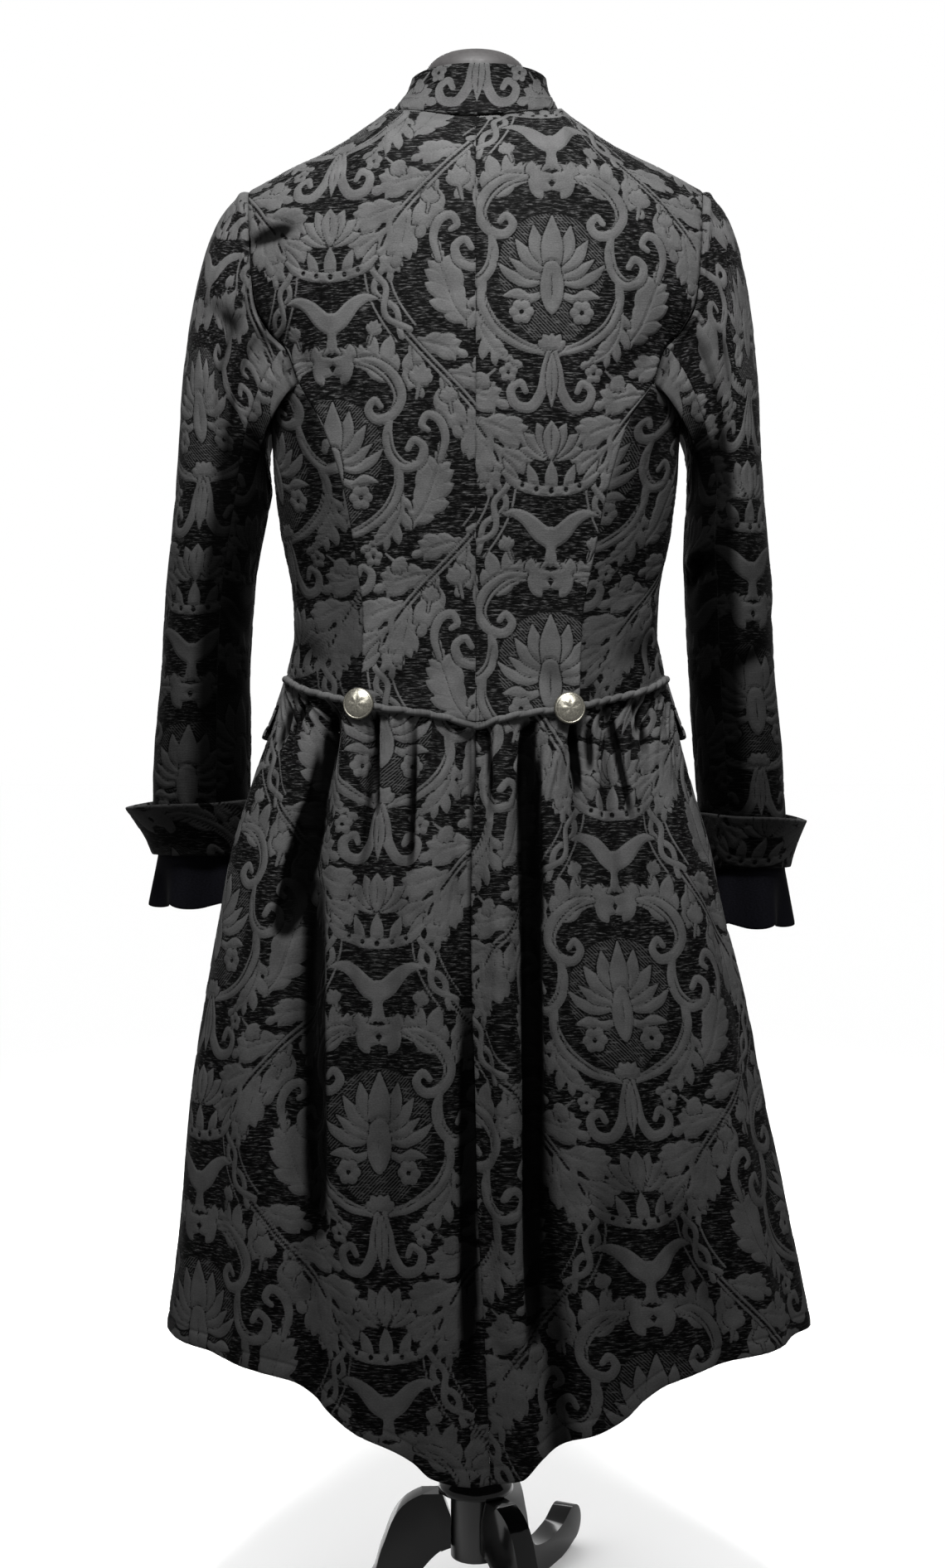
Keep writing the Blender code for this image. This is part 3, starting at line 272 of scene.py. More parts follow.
# each kind of button: its radius and height, then its shank's radius and length
BACK_BUTTON = (0.0150, 0.0085, 0.0045, 0.0075)
BACK_BUTTON_ANGLE = {"left": 31.2, "right": 23.4}
SHANK_FOOT = {"left": 0.0018, "right": 0.0012}
FRONT_BUTTON = (0.0110, 0.0055, 0.004, 0.0022)
FRONT_BUTTON_X = -0.017
FRONT_BUTTON_SHARES = (0.10, 0.80)
FRONT_BUTTON_SEATS = (0.0006, 0.0006, -0.0002, 0.0006, 0.0006)

# The stand
STAND_GAP = 0.0003
POLE_RADIUS = 0.0125
POLE_FOOT = 0.150
FLANGE_RADIUS = 0.0365
FLANGE_BASE = 0.1285
COLUMN_RADIUS = 0.0245
COLUMN_FOOT = 0.064
CAP_RADIUS = 0.0505
LEG_THICKNESS = 0.022
LEG_BEVEL = 0.003
LEG_AZIMUTHS = (27.0, 147.0, 267.0)
LEG = Table("way reach height half", """
    0.00 0.0255 0.1060 0.0290   0.15 0.0500 0.0970 0.0295   0.30 0.0700 0.0700 0.0230
    0.45 0.0840 0.0410 0.0190   0.60 0.1100 0.0180 0.0175   0.75 0.1480 0.0135 0.0160
    0.88 0.1830 0.0175 0.0165   1.00 0.2080 0.0260 0.0185""")


# The body surface


def bulged(value, power):
    """A sine or cosine made larger, for a section that is fuller than an ellipse."""
    return np.sign(value) * np.abs(value) ** (2 / power)


def ridge_height(x):
    """Height of the shoulder line, lifted towards the neck and dipping inside it."""
    away = SHOULDER_HALF - np.maximum(x, NECK_HALF)
    lift = NECK_LIFT * (np.maximum(away, 0) / (SHOULDER_HALF - NECK_HALF)) ** 5
    inside = np.clip(x / NECK_HALF, 0, 1)
    return SHOULDER_HEIGHT + SHOULDER_SLOPE * away + lift - NECK_DIP * (1 - inside ** 2)


def body_point(angle, share, side, lift=0.0):
    """A point of the body at an angle in degrees and a share of the way up."""
    cosine = np.cos(np.radians(angle))
    x = BODY.at("half_width", share) * bulged(np.sin(np.radians(angle)), BODY_POWER)
    depth = np.where(cosine > 0, BODY.at("back", share), BODY.at("front", share))
    turn = (np.pi / 2) * np.clip((1 - share) / (1 - ROUND_SHARE), 0, 1)
    waist = WAIST_HEIGHT.at("height", angle)
    z = waist + (ridge_height(x) - ROUNDING - waist) * np.minimum(share / ROUND_SHARE, 1)
    z = np.where(share < ROUND_SHARE, z, z + ROUNDING * np.cos(turn))
    return np.stack([side * x, depth * bulged(cosine, BODY_POWER) * np.sin(turn), z + lift], axis=-1)


def body_angle(x, share):
    """The back's angle in degrees at a distance x from the centre."""
    part = np.clip(x / BODY.at("half_width", share), 0, 1)
    return np.degrees(np.arcsin(part ** (BODY_POWER / 2)))


TIP_ANGLE = float(body_angle(SHOULDER_HALF, 1.0))
NECK_ANGLE = float(body_angle(NECK_HALF, 1.0))


def neck_share(angle, half):
    """How far up the neckline lies on the body, at an angle from the centre of its own half."""
    x = BODY.at("half_width", 1.0) * bulged(np.sin(np.radians(angle)), BODY_POWER)
    y = NECK_REACH[half] * np.sqrt(np.clip(1 - (np.minimum(x, NECK_HALF) / NECK_HALF) ** 2, 0, 1))
    full = BODY.at(half, NECK_DEPTH_SHARES[half]) * bulged(np.cos(np.radians(angle)), BODY_POWER)
    turn = np.arcsin(np.clip(y / full, 0, 1))
    return 1 - (1 - ROUND_SHARE) * turn / (np.pi / 2)


def neck_warp(u, share):
    """Columns that crowd to the neck at the top, so that one of them meets its corner."""
    neck = NECK_ANGLE / TIP_ANGLE
    past = (u - WARP_CORNER) / (1 - WARP_CORNER)
    bent = np.where(u < WARP_CORNER, u / WARP_CORNER * neck, neck + past * (1 - neck))
    return u + (bent - u) * eased((share - WARP_START) / (WARP_END - WARP_START))


def body_panel(column, half):
    """The back from its centre seam, or the front from its free edge, out to the armhole."""
    low = ARMHOLE_BACK if half == "back" else ARMHOLE_LOW
    shares = [low * i / LOW_ROWS for i in range(LOW_ROWS + 1)] + list(HIGH_SHARES[half])

    def shape(u, v):
        share = np.interp(v, np.linspace(0, 1, len(shares)), shares)
        if half == "back":
            edge = body_angle(BACK_EDGE.at(column, share), share)
        else:
            edge = np.where(share > TIP_SHARE, TIP_ANGLE, 180 - FRONT_EDGE.at("angle", share))
        angle = edge * neck_warp(u, share)
        top = neck_share(TIP_ANGLE * neck_warp(u, np.ones_like(u)), half)
        share = share - (1 - top) * np.clip((share - LOWER_START) / (1 - LOWER_START), 0, 1)
        angle = angle if half == "back" else 180 - angle
        return body_point(angle, share, SIDES[column], WAIST_GAP * (v < NUDGE))

    return shape


def underarm_share(u):
    """How far up the side piece reaches, from the side-back seam to the side seam."""
    return ARMHOLE_BACK + (ARMHOLE_LOW - ARMHOLE_BACK) * (0.35 * u + 0.65 * eased(u))


def side_panel(column):
    def shape(u, v):
        edge = body_angle(BACK_EDGE.at(column, v * ARMHOLE_BACK), v * ARMHOLE_BACK)
        angle = edge + (SIDE_SEAM - edge) * u
        return body_point(angle, v * underarm_share(u), SIDES[column], WAIST_GAP * (v < NUDGE))

    return shape


def collar_shape(u, v):
    """Around the neck from the left front edge over the back to the right front edge."""
    turn = (u - 0.5) * 2
    side = np.where(turn < 0, 1.0, -1.0)
    half = np.abs(turn)
    front = half > 0.5
    on_back = NECK_ANGLE * half * 2
    on_front = COLLAR_FRONT_GAP + (NECK_ANGLE - COLLAR_FRONT_GAP) * (1 - half) * 2
    back_base = body_point(on_back, neck_share(on_back, "back"), side, COLLAR_LIFT)
    front_base = body_point(180 - on_front, neck_share(on_front, "front"), side, COLLAR_LIFT)
    base = np.where(front[..., None], front_base, back_base)
    around = np.where(front, np.pi - on_front / NECK_ANGLE * np.pi / 2, half * np.pi)
    depth = np.where(front, COLLAR_TOP_FRONT_DEPTH, COLLAR_TOP_BACK)
    low = np.clip((half - 0.5) * 2, 0, 1)
    top = np.stack([
        side * COLLAR_TOP_HALF * np.sin(around) + COLLAR_TOP_X * (1 - low),
        depth * np.cos(around),
        COLLAR_TOP + (COLLAR_TOP_FRONT - COLLAR_TOP) * low ** 1.6,
    ], axis=-1)
    point = base + (top - base) * v[..., None]
    outward = point[..., :2] / np.linalg.norm(point[..., :2], axis=-1, keepdims=True)
    point[..., :2] -= outward * (COLLAR_BOW * np.sin(np.pi * v) * v)[..., None]
    return point


# The skirt surface


def stations(top, middle, hem, fall):
    """A smooth value between three, given at the waist, part way down and at the hem."""
    first = top + (middle - top) * eased(fall / FOLD_MIDDLE)
    return first + (hem - middle) * eased((fall - FOLD_MIDDLE) / (1 - FOLD_MIDDLE))


def fold_depth(angle, fall, side):
    """How far the skirt is drawn in by all its troughs, at an angle and a fall."""
    signed = np.where(side > 0, angle, -angle)
    total = np.zeros_like(angle + fall)
    for row in FOLDS.rows:
        middle, width, depth = (stations(*row[i:i + 3], fall) for i in (0, 3, 6))
        away = (signed - middle) / width
        total += depth * np.exp(-away * away)
    return total * (1 - np.exp(-fall / GATHER_RAMP))


def hem_height(angle, x):
    """The hem drops to a point at the centre back, and rises a little to the front edges."""
    rise = HEM_FRONT_RISE * np.clip((angle - 90) / 90, 0, 1)
    return HEM.at("height", np.where(angle < 90, x, HEM.rows[-1, 0])) + rise


def skirt_point(angle, fall, side, out=0.0):
    """A point of the skirt, moved outwards by a given distance."""
    sine = np.clip(np.sin(np.radians(angle)), 0, 1)
    cosine = np.cos(np.radians(angle))
    wide = SKIRT.at("half_width", fall)
    deep = np.where(cosine > 0, SKIRT.at("back", fall), SKIRT.at("front", fall))
    power = BODY_POWER + (SKIRT_POWER - BODY_POWER) * np.clip(fall / SQUARE_FALL, 0, 1)
    normal_x = sine ** (2 - 2 / power) / wide
    normal_y = np.sign(cosine) * np.abs(cosine) ** (2 - 2 / power) / deep
    move = (out - fold_depth(angle, fall, side)) / np.hypot(normal_x, normal_y)
    hem_x = side * SKIRT.at("half_width", 1.0) * bulged(sine, power) + SKIRT.at("swing", 1.0)
    hem = hem_height(angle, np.abs(hem_x))
    waist = WAIST_HEIGHT.at("height", angle)
    x = side * (wide * bulged(sine, power) + move * normal_x) + SKIRT.at("swing", fall)
    y = deep * bulged(cosine, power) + SKIRT.at("middle", fall) + move * normal_y
    return np.stack([x, y, waist + (hem - waist) * fall], axis=-1)


def skirt_panel(column, half):
    """The back from its centre seam to the side seam, or the front from there to its free edge."""
    def shape(u, v):
        fall = v ** ROW_CROWDING
        edge = 180 - FRONT_OPENING_TOP - FRONT_OPENING * fall ** 1.5
        angle = SIDE_SEAM * u if half == "back" else SIDE_SEAM + (edge - SIDE_SEAM) * u
        return skirt_point(angle, fall, SIDES[column])

    return shape


def flap_shape(column):
    """On the skirt's points below the waist seam, standing off most at its back corner."""
    def shape(u, v):
        angle = FLAP_START + (FLAP_END - FLAP_START) * u
        fall = FLAP_TOP + FLAP_DEPTH * (1 - 0.10 * np.abs(2 * u - 1) ** 6) * v
        stand = FLAP_WALL + FLAP_STAND * v ** 1.5 * (0.35 + 0.65 * (1 - u) ** 2)
        return skirt_point(angle, fall, SIDES[column], stand)

    return shape


def piping_shape(first, last):
    """A cord in bias-cut cloth along the waist seam, from one signed angle to another, twisted a little."""
    def shape(u, v):
        angle = first + (last - first) * u
        side = np.where(angle >= 0, 1.0, -1.0)
        reach = PIPING_RADIUS + PIPING_STAND
        fall = np.zeros_like(angle)
        middle = skirt_point(np.abs(angle), fall, side, reach)
        out = skirt_point(np.abs(angle), fall, side, reach + 0.01) - middle
        out /= np.linalg.norm(out, axis=-1, keepdims=True)
        run = np.radians(angle) * PIPING_ARM
        length = np.radians(abs(last - first)) * PIPING_ARM
        near = np.clip(length * (0.5 - np.abs(u - 0.5)) / PIPING_RADIUS, 0, 1)
        turn = 2 * np.pi * v
        twist = run / 0.0017 + 1.8 * np.sin(run / 0.011) + turn
        ruck = 1 + 0.42 * np.abs(np.sin(twist / 2)) ** 0.7 - 0.34 + 0.04 * np.sin(run / 0.0083 - turn)
        radius = PIPING_RADIUS * 0.93 * ruck * np.sqrt(1 - (1 - near) ** 2)
        point = middle + out * (radius * np.cos(turn))[..., None]
        point[..., 2] += radius * np.sin(turn) - PIPING_DIP * np.exp(-(angle / 3.0) ** 2)
        return point

    return shape


# The sleeve surface


def armhole_line(column):
    """The armhole's points in order: shoulder tip, back, underarm, front, shoulder tip."""
    back_shares = np.linspace(1, ARMHOLE_BACK, 40)
    back_angles = body_angle(BACK_EDGE.at(column, back_shares), back_shares)
    u = np.linspace(0, 1, 16)[1:]
    side_angles = back_angles[-1] + (SIDE_SEAM - back_angles[-1]) * u
    front_shares = np.linspace(ARMHOLE_LOW, 1, 60)[1:]
    front_angles = FRONT_EDGE.at("angle", front_shares)
    front_angles[-1] = 180 - TIP_ANGLE
    angles = np.concatenate([back_angles, side_angles, front_angles])
    shares = np.concatenate([back_shares, underarm_share(u), front_shares])
    line = body_point(angles, shares, SIDES[column])
    line[0] = line[-1] = (line[0] + line[-1]) / 2
    return line


ARMHOLES = {column: armhole_line(column) for column in SIDES}


def armhole_at(column, turn):
    line = ARMHOLES[column]
    lengths = np.concatenate([[0], np.cumsum(np.linalg.norm(np.diff(line, axis=0), axis=1))])
    way = np.mod(turn, 360) / 360 * lengths[-1]
    return np.stack([np.interp(way, lengths, line[:, i]) for i in range(3)], axis=-1)


def sleeve_ring(column, turn, height, grow=0.0):
    """A level ring of the sleeve: turn 0 is its outer side, 90 its back."""
    drop = SLEEVE_JOIN - height
    wide = SLEEVE.at("wide_" + column, drop) + grow
    deep = SLEEVE.at("deep", drop) + grow
    x = SLEEVE.at(column, drop) + wide * bulged(np.cos(np.radians(turn)), SLEEVE_POWER)
    y = SLEEVE.at("middle", drop) + deep * bulged(np.sin(np.radians(turn)), SLEEVE_POWER)
    return np.stack([SIDES[column] * x, y, height + 0 * x], axis=-1)


def sleeve_panel(column, first, last):
    """From way 0 at the armhole over the level ring at CAP_SHARE to way 1, the sleeve's end."""
    side = SIDES[column]

    def shape(u, way):
        turn = first + (last - first) * u
        start = armhole_at(column, turn)
        end = sleeve_ring(column, turn, np.full_like(turn, SLEEVE_JOIN))
        span = np.linalg.norm(end - start, axis=-1, keepdims=True)
        upper = (0.5 + 0.5 * np.cos(np.radians(turn)))[..., None] ** 0.8
        outward = np.array([CAP_OUT[column] * side, 0.0, CAP_SINK])
        downward = np.array([UNDER_LEAVE[0] * side, 0.0, UNDER_LEAVE[1]])
        leave = span * (outward * upper + downward * (1 - upper))
        arrive = span * np.array([CAP_ARRIVE[0] * side, *CAP_ARRIVE[1:]])
        t = np.clip(way / CAP_SHARE, 0, 1)[..., None]
        t = t + ARMHOLE_GAP / span * (1 - t)
        cap = (start * (2 * t ** 3 - 3 * t ** 2 + 1) + leave * (t ** 3 - 2 * t ** 2 + t)
               + end * (3 * t ** 2 - 2 * t ** 3) + arrive * (t ** 3 - t ** 2))
        below = np.clip((way - CAP_SHARE) / (1 - CAP_SHARE), 0, 1)
        tube = sleeve_ring(column, turn, SLEEVE_JOIN + (SLEEVE_END[column] - SLEEVE_JOIN) * below)
        return np.where((way <= CAP_SHARE)[..., None], cap, tube)

    return shape


def cuff_shape(column):
    """A ring turned back up over the sleeve's end, which flares to its rim."""
    def shape(u, v):
        turn = 360 * u
        outer = np.clip(np.cos(np.radians(turn - CUFF_TURN)), 0, 1) ** 4
        inner = np.clip(-np.cos(np.radians(turn + CUFF_TURN)), 0, 1)
        flare = (CUFF_FLARE[column] * (1 - 0.75 * inner) + CUFF_TIP[column] * outer) * v ** 1.3
        rim = CUFF_HEIGHT - CUFF_TIP_DROP * outer + CUFF_WAVE * np.sin(np.radians(3 * turn))
        return sleeve_ring(column, turn, SLEEVE_END[column] - CUFF_DROP + v * rim, CUFF_STAND + flare)

    return shape


def frill_shape(column):
    """A gathered ring inside the sleeve's end, with a scalloped lower edge."""
    def shape(u, v):
        turn = 360 * u
        wave = np.sin(np.radians(FRILL_WAVES * turn + 40))
        scallop = FRILL_SCALLOP * np.abs(np.sin(np.radians(FRILL_WAVES * turn / 2 + 10)))
        height = SLEEVE_END[column] + FRILL_TOP - v * (FRILL_LENGTH[column] + FRILL_TOP + scallop)
        free = np.clip((v - FRILL_HELD) / (1 - FRILL_HELD), 0, 1)
        return sleeve_ring(column, turn, height, FRILL_INSET * (1 - free) + FRILL_WAVE_DEPTH * wave * free)

    return shape


# The damask: a half-drop repeat drawn as strokes of changing width, in millimetres

REPEAT_WIDTH = 410.0
REPEAT_HEIGHT = 365.0
CELL = 0.5
LINE_GAP = 1.1
EMPTY = -40.0
WAVE = 57.5


def smooth_curve(points, spacing=1.2):
    """Points close together on a smooth curve through rows of x, y and half width."""
    rows = np.array(points, float)
    if len(rows) == 2:
        rows = np.array([rows[0], rows.mean(axis=0), rows[1]])
    ends = np.concatenate([[2 * rows[0] - rows[1]], rows, [2 * rows[-1] - rows[-2]]])
    out = []
    for i in range(len(rows) - 1):
        a, b, c, d = ends[i:i + 4]
        steps = max(2, int(np.hypot(*(c - b)[:2]) / spacing))
        t = np.linspace(0, 1, steps, endpoint=False)[:, None]
        out.append(0.5 * (2 * b + (c - a) * t + (2 * a - 5 * b + 4 * c - d) * t ** 2
                          + (3 * b - a - 3 * c + d) * t ** 3))
    curve = np.concatenate(out + [rows[-1:]])
    curve[:, 2] = np.maximum(curve[:, 2], 0.05)
    return curve


class Layer:
    """A field over half a repeat: how far inside the drawn strokes each place lies, in mm."""

    def __init__(self, strokes=()):
        self.columns = int(REPEAT_WIDTH / 2 / CELL) + 1
        self.rows = int(REPEAT_HEIGHT / CELL)
        self.field = np.full((self.rows, self.columns), EMPTY)
        for points in strokes:
            curve = smooth_curve(points)
            self.draw(curve[:, 0], curve)
            self.draw(-curve[:, 0], curve)

    def draw(self, x, curve):
        """Adds a stroke; the field repeats upwards."""
        reach = curve[:, 2].max() + 5.0
        low = max(0, int((x.min() - reach) / CELL))
        high = min(self.columns, int((x.max() + reach) / CELL) + 2)
        if low >= high:
            return
        bottom = int(np.floor((curve[:, 1].min() - reach) / CELL))
        top = int(np.ceil((curve[:, 1].max() + reach) / CELL))
        gx = np.arange(low, high) * CELL
        gy = np.arange(bottom, top) * CELL
        best = np.full((len(gy), len(gx)), EMPTY)
        for px, (_, py, radius) in zip(x, curve):
            np.maximum(best, radius - np.hypot(gx[None, :] - px, gy[:, None] - py), out=best)
        rows = np.arange(bottom, top) % self.rows
        self.field[rows, low:high] = np.maximum(self.field[rows, low:high], best)

    def over(self, other, gap=LINE_GAP):
        """Lays strokes or another layer on this one, with a dark line round them."""
        other = other if isinstance(other, Layer) else Layer(other)
        self.field = np.maximum(np.minimum(self.field, -other.field - gap), other.field)

    def cut(self, strokes):
        self.field = np.minimum(self.field, -Layer(strokes).field)

    def half_drop(self):
        """The same drawing half a repeat across and up, joined to it."""
        self.field = np.maximum(self.field, np.roll(self.field[:, ::-1], self.rows // 2, axis=0))


def drawn(text):
    """Strokes from rows of x, y and half width; a bar stands between two strokes."""
    return [np.array(stroke.split(), float).reshape(-1, 3) for stroke in text.split("|")]


def moved(points, x, y, turn=0.0, scale=1.0):
    """Points turned by degrees, scaled and put at a place."""
    px, py, radius = np.array(points, float).T
    c = np.cos(np.radians(turn))
    s = np.sin(np.radians(turn))
    return np.stack([x + scale * (px * c - py * s), y + scale * (px * s + py * c), radius * scale], axis=-1)


def petal(x, y, turn, length, half, bend=0.0):
    """A pointed drop that starts at a place and points along turn, in degrees."""
    shape = [(0, 0, half * 0.35), (length * 0.3, bend * 0.3, half * 0.85),
             (length * 0.62, bend * 0.75, half), (length, bend, half * 0.12)]
    return moved(shape, x, y, turn)


def fan(x, y, turns, length, half, falls=0.0):
    """Petals from one place, the middle one the longest."""
    middle = np.mean(turns)
    return [petal(x, y, t, length * (1 - falls * abs(t - middle) / 90), half) for t in turns]


def acanthus(spine, half, count, lean=42.0):
    """A leaf cut into lobes along a curved rib: the lobes, then the rib."""
    curve = smooth_curve([(x, y, 1.0) for x, y in spine], 0.8)
    run = np.gradient(curve[:, :2], axis=0)
    turns = np.degrees(np.arctan2(run[:, 1], run[:, 0]))
    lobes = []
    for i in range(count):
        t = (i + 0.5) / count
        at = int(t * (len(curve) - 1))
        size = half * (0.55 + 0.75 * np.sin(np.pi * min(t * 1.15, 1.0)) ** 0.8) * (1 - 0.35 * t)
        for side in (1, -1):
            lobes.append(petal(*curve[at, :2], turns[at] + side * lean, size * 1.5, size * 0.36,
                               -side * size * 0.12))
    lobes.append(petal(*curve[-1, :2], turns[-1], half * 0.8, half * 0.3))
    lobes.append([(x, y, half * 0.28 * (1 - 0.6 * i / len(curve)))
                  for i, (x, y, _) in enumerate(curve[::6])])
    return lobes


def rib(spine, half=0.55):
    return [(x, y, half * (1 - 0.5 * i / len(spine))) for i, (x, y) in enumerate(spine)]


def blossom(x, y, size, count=5, start=90.0):
    """Round petals in a ring."""
    petals = []
    for i in range(count):
        turn = np.radians(start + 360 * i / count)
        cx = x + size * 0.62 * np.cos(turn)
        cy = y + size * 0.62 * np.sin(turn)
        petals.append([(cx, cy, size * 0.42), (cx + 0.2, cy, size * 0.42)])
    return petals


def lattice(y, off=0.0):
    """The wavy line between two columns, moved sideways."""
    turn = 2 * np.pi * y / REPEAT_HEIGHT
    slope = -WAVE * np.sin(turn) * 2 * np.pi / REPEAT_HEIGHT
    length = np.hypot(slope, 1)
    x = REPEAT_WIDTH / 4 + WAVE * np.cos(turn)
    return x + off / length, y - off * slope / length, np.degrees(np.arctan2(1, slope))


# The column's strokes: x, y and half width in mm, on the right of its axis
SCROLLS = drawn("""
    24 100 2.5  42 97 5.5  59 84 6.5  66 66 6  58 50 5  44 46 4.5  36 55 4  42 64 3.2  48 58 2.8
    | 56 44 3  54 30 5  58 14 5.5  70 3 5.5  84 7 4.8  88 20 4  79 27 3.4  73 19 3
    | 64 2 4  64 -16 5  52 -38 5.5  30 -54 5  8 -61 3.5
    | 103 8 2.5  108 28 3.8  103 44 4.2  92 50 3.8  86 41 3.2  92 36 2.6""")
SCROLL_LINES = drawn("""
    30 99 0.2  44 94 0.8  57 82 0.9  63 66 0.8  56 53 0.5
    | 55 32 0.3  60 15 0.8  70 6 0.8  82 9 0.4
    | 62 -8 0.3  60 -20 0.8  50 -37 0.9  32 -51 0.8  14 -59 0.3""")
LYRE = drawn("3 -62 2.5  6 -78 4.2  9 -96 4.8  19 -111 5  33 -109 4.6  38 -96 4  29 -89 3.4  24 -97 2.8")
SPEAR = drawn("0 -64 1.5  0 -78 4.8  0 -92 5.2  0 -112 0.4")
SPEAR_LINE = drawn("0 -70 0.3  0 -96 0.6  0 -104 0.2")
SPRIGS = ((84, 78, 78, 1.15), (112, 62, 100, 0.85), (40, 124, 70, 0.8), (60, -84, -40, 0.9))
LOTUS = ((-158, 8, 30, 5.6, 5), (-157, 34, 33, 6.2, 4), (-156, 62, 33, 6.4, 2), (-156, 90, 32, 7.4, 0))
LOTUS_LINE = drawn("0 -150 0.4  0 -136 0.7  0 -130 0.2")
CROWN_TEETH = drawn("""0 -186 5  0 -174 6  0 -160 0.6 | 15 -184 4  18 -174 4.8  22 -163 0.5
    | 31 -180 3  38 -170 3.8  45 -158 0.5""")
CROWN_BASE = drawn("0 -188 4.6  18 -186 4.6  34 -180 4.0  44 -171 2.2")
PEARLS = drawn("0 -187 2.4  0 -187.5 2.4 | 14 -185.5 2.2  14 -186 2.2 | 27 -182 2.0  27 -182.5 2.0")
SWALLOW = drawn("""
    0 -232 9  10 -226 8.5  22 -214 6.5  34 -208 4.2  46 -209 0.6
    | 0 -228 8  0 -242 4.5  0 -250 5.5  0 -257 1 | 0 -250 3  5 -255 2.5  9 -258 0.8""")
TULIP = drawn("""0 18 7  0 36 8.5  0 58 1 | 2 20 5  12 34 6.5  15 50 1
    | 3 16 5  19 25 6  29 39 0.8 | 3 12 4  20 14 5  34 24 0.8""")
TULIP_LINE = drawn("0 8 0.4  0 -4 0.7  0 -14 0.2")
BELL = drawn("0 14 7  0 0 9.5  0 -12 7  0 -20 2")
SPRAYS = drawn("8 4 3  22 2 4.8  36 8 4.2  46 18 0.6 | 8 -8 2.5  20 -12 4  30 -8 4.5  42 -10 0.6")


def draw_column():
    """The scroll medallion with its bouquet, lotus, crown and bird, and the medallion's ground."""
    column = Layer()
    column.over(acanthus([(74, -52), (88, -34), (97, -10), (104, 14)], 17, 6))
    column.cut([rib([(76, -50), (88, -34), (97, -10), (103, 8)])])
    column.over(acanthus([(66, -18), (66, -40), (54, -60), (36, -70)], 12, 5))
    column.cut([rib([(67, -22), (65, -40), (54, -59), (38, -69)])])
    column.over(acanthus([(60, 78), (46, 100), (26, 108)], 17, 4, 50))
    column.over(fan(20, 96, (95, 130, 165, 200, 235), 23, 5.2, 0.2))
    column.over(SCROLLS[3:])
    column.over(SCROLLS[:3])
    column.cut(SCROLL_LINES)
    column.over(fan(0, -60, (35, 62, 90), 17, 4.2, 0.3))
    column.over(LYRE)
    column.over(SPEAR)
    column.cut(SPEAR_LINE)
    column.over(blossom(40, -80, 8.5))
    column.cut([[(40, -80, 1.6), (40.2, -80, 1.6)]])
    for x, y, turn, size in SPRIGS:
        sprig = fan(0, 0, (-48, -24, 0, 24, 48), 17, 3.8, 0.5) + [[(-12, 0, 1.2), (2, 0, 1.8)]]
        column.over([moved(points, x, y, turn, size) for points in sprig])
    for y, turn, length, half, bend in LOTUS:
        column.over([petal(0, y, turn, length, half, bend)])
    column.cut(LOTUS_LINE)
    column.over(CROWN_TEETH)
    column.over(CROWN_BASE, 0.6)
    column.cut(PEARLS)
    column.over(SWALLOW)
    ground = Layer([[(0, -16, 38), (0, 16, 50)]])
    ground.field = np.minimum(ground.field, -column.field - LINE_GAP)
    bouquet = Layer()
    bouquet.over([moved(spray, 0, 0, 0, 1.08) for spray in SPRAYS])
    bouquet.over(blossom(28, -25, 11.0, 6, 60))
    bouquet.cut([[(28, -25, 1.9), (28.2, -25, 1.9)]])
    for leaf in reversed(TULIP):
        bouquet.over([moved(leaf, 0, -4, 0, 1.15)])
    bouquet.over([moved(BELL[0], 0, -2, 0, 1.15)])
    bouquet.cut(TULIP_LINE)
    inside = Layer([[(0, -16, 40), (0, 16, 52)]]).field
    bouquet.field = np.minimum(bouquet.field, np.maximum(inside, -EMPTY * (inside > 0)))
    column.over(bouquet)
    return column, ground


def draw_lattice():
    """The garlands between the columns: leafy stems above, plaited braids below."""
    border = Layer()
    for side in (-1, 1):
        for y, lean, length, half in ((33, 40, 30, 11.0), (58, 38, 40, 15.0), (86, 40, 42, 15.5),
                                      (116, 42, 36, 13.0)):
            x0, y0, turn = lattice(y, side * 2.0)
            spine = []
            for i in range(5):
                bend = np.radians(turn + 180 + side * (lean - 9 * i / 4))
                reach = 4 + length * i / 4
                spine.append((x0 + reach * np.cos(bend), y0 + reach * np.sin(bend)))
            border.over(acanthus(spine, half, 4, 36))
            border.cut([rib(spine[:4], 0.6)])
    heights = np.arange(124, 240, 4.0)
    for offs, places, half, gap in (((-2.4, 2.4), range(20, 134, 8), 1.3, 0.8),
                                    ((-11.5, 11.5), heights, 1.1, 0.5)):
        for off in offs:
            border.over([[lattice(y, off)[:2] + (half,) for y in places]], gap)
    for phase in (0.0, np.pi):
        swings = 5.6 * np.sin(2 * np.pi * heights / 44.0 + phase)
        border.over([[lattice(y, off)[:2] + (2.9,) for y, off in zip(heights, swings)]], 0.7)
    return border


def draw_damask():
    """The motif's field and the hatched ground's, over half a repeat in millimetres."""
    column, ground = draw_column()
    border = draw_lattice()
    for layer in (column, ground, border):
        layer.half_drop()
    border.over(column)
    return border.field, np.minimum(ground.field, -border.field - LINE_GAP)


MOTIF, HATCH = draw_damask()

# Where the damask's repeat lies on each piece, in millimetres across and up
PLACEMENT = {
    "back_right": (-70, 1279), "back_left": (-136, 1111), "side_right": (-180, 1279),
    "side_left": (-80, 1111), "front_right": (-60, 1190), "front_left": (-60, 1190),
    "collar": (0, 1577), "flap_left": (-60, 1010), "flap_right": (-60, 1010),
    "skirt_back_right": (-160, 976), "skirt_back_left": (-90, 860),
    "skirt_front_right": (-60, 900), "skirt_front_left": (-60, 900),
    "sleeve_upper_right": (-60, 1250), "sleeve_upper_left": (-70, 1170),
    "sleeve_under_right": (-30, 1200), "sleeve_under_left": (-30, 1200),
    "cuff_left": (-60, 690), "cuff_right": (-75, 560),
}


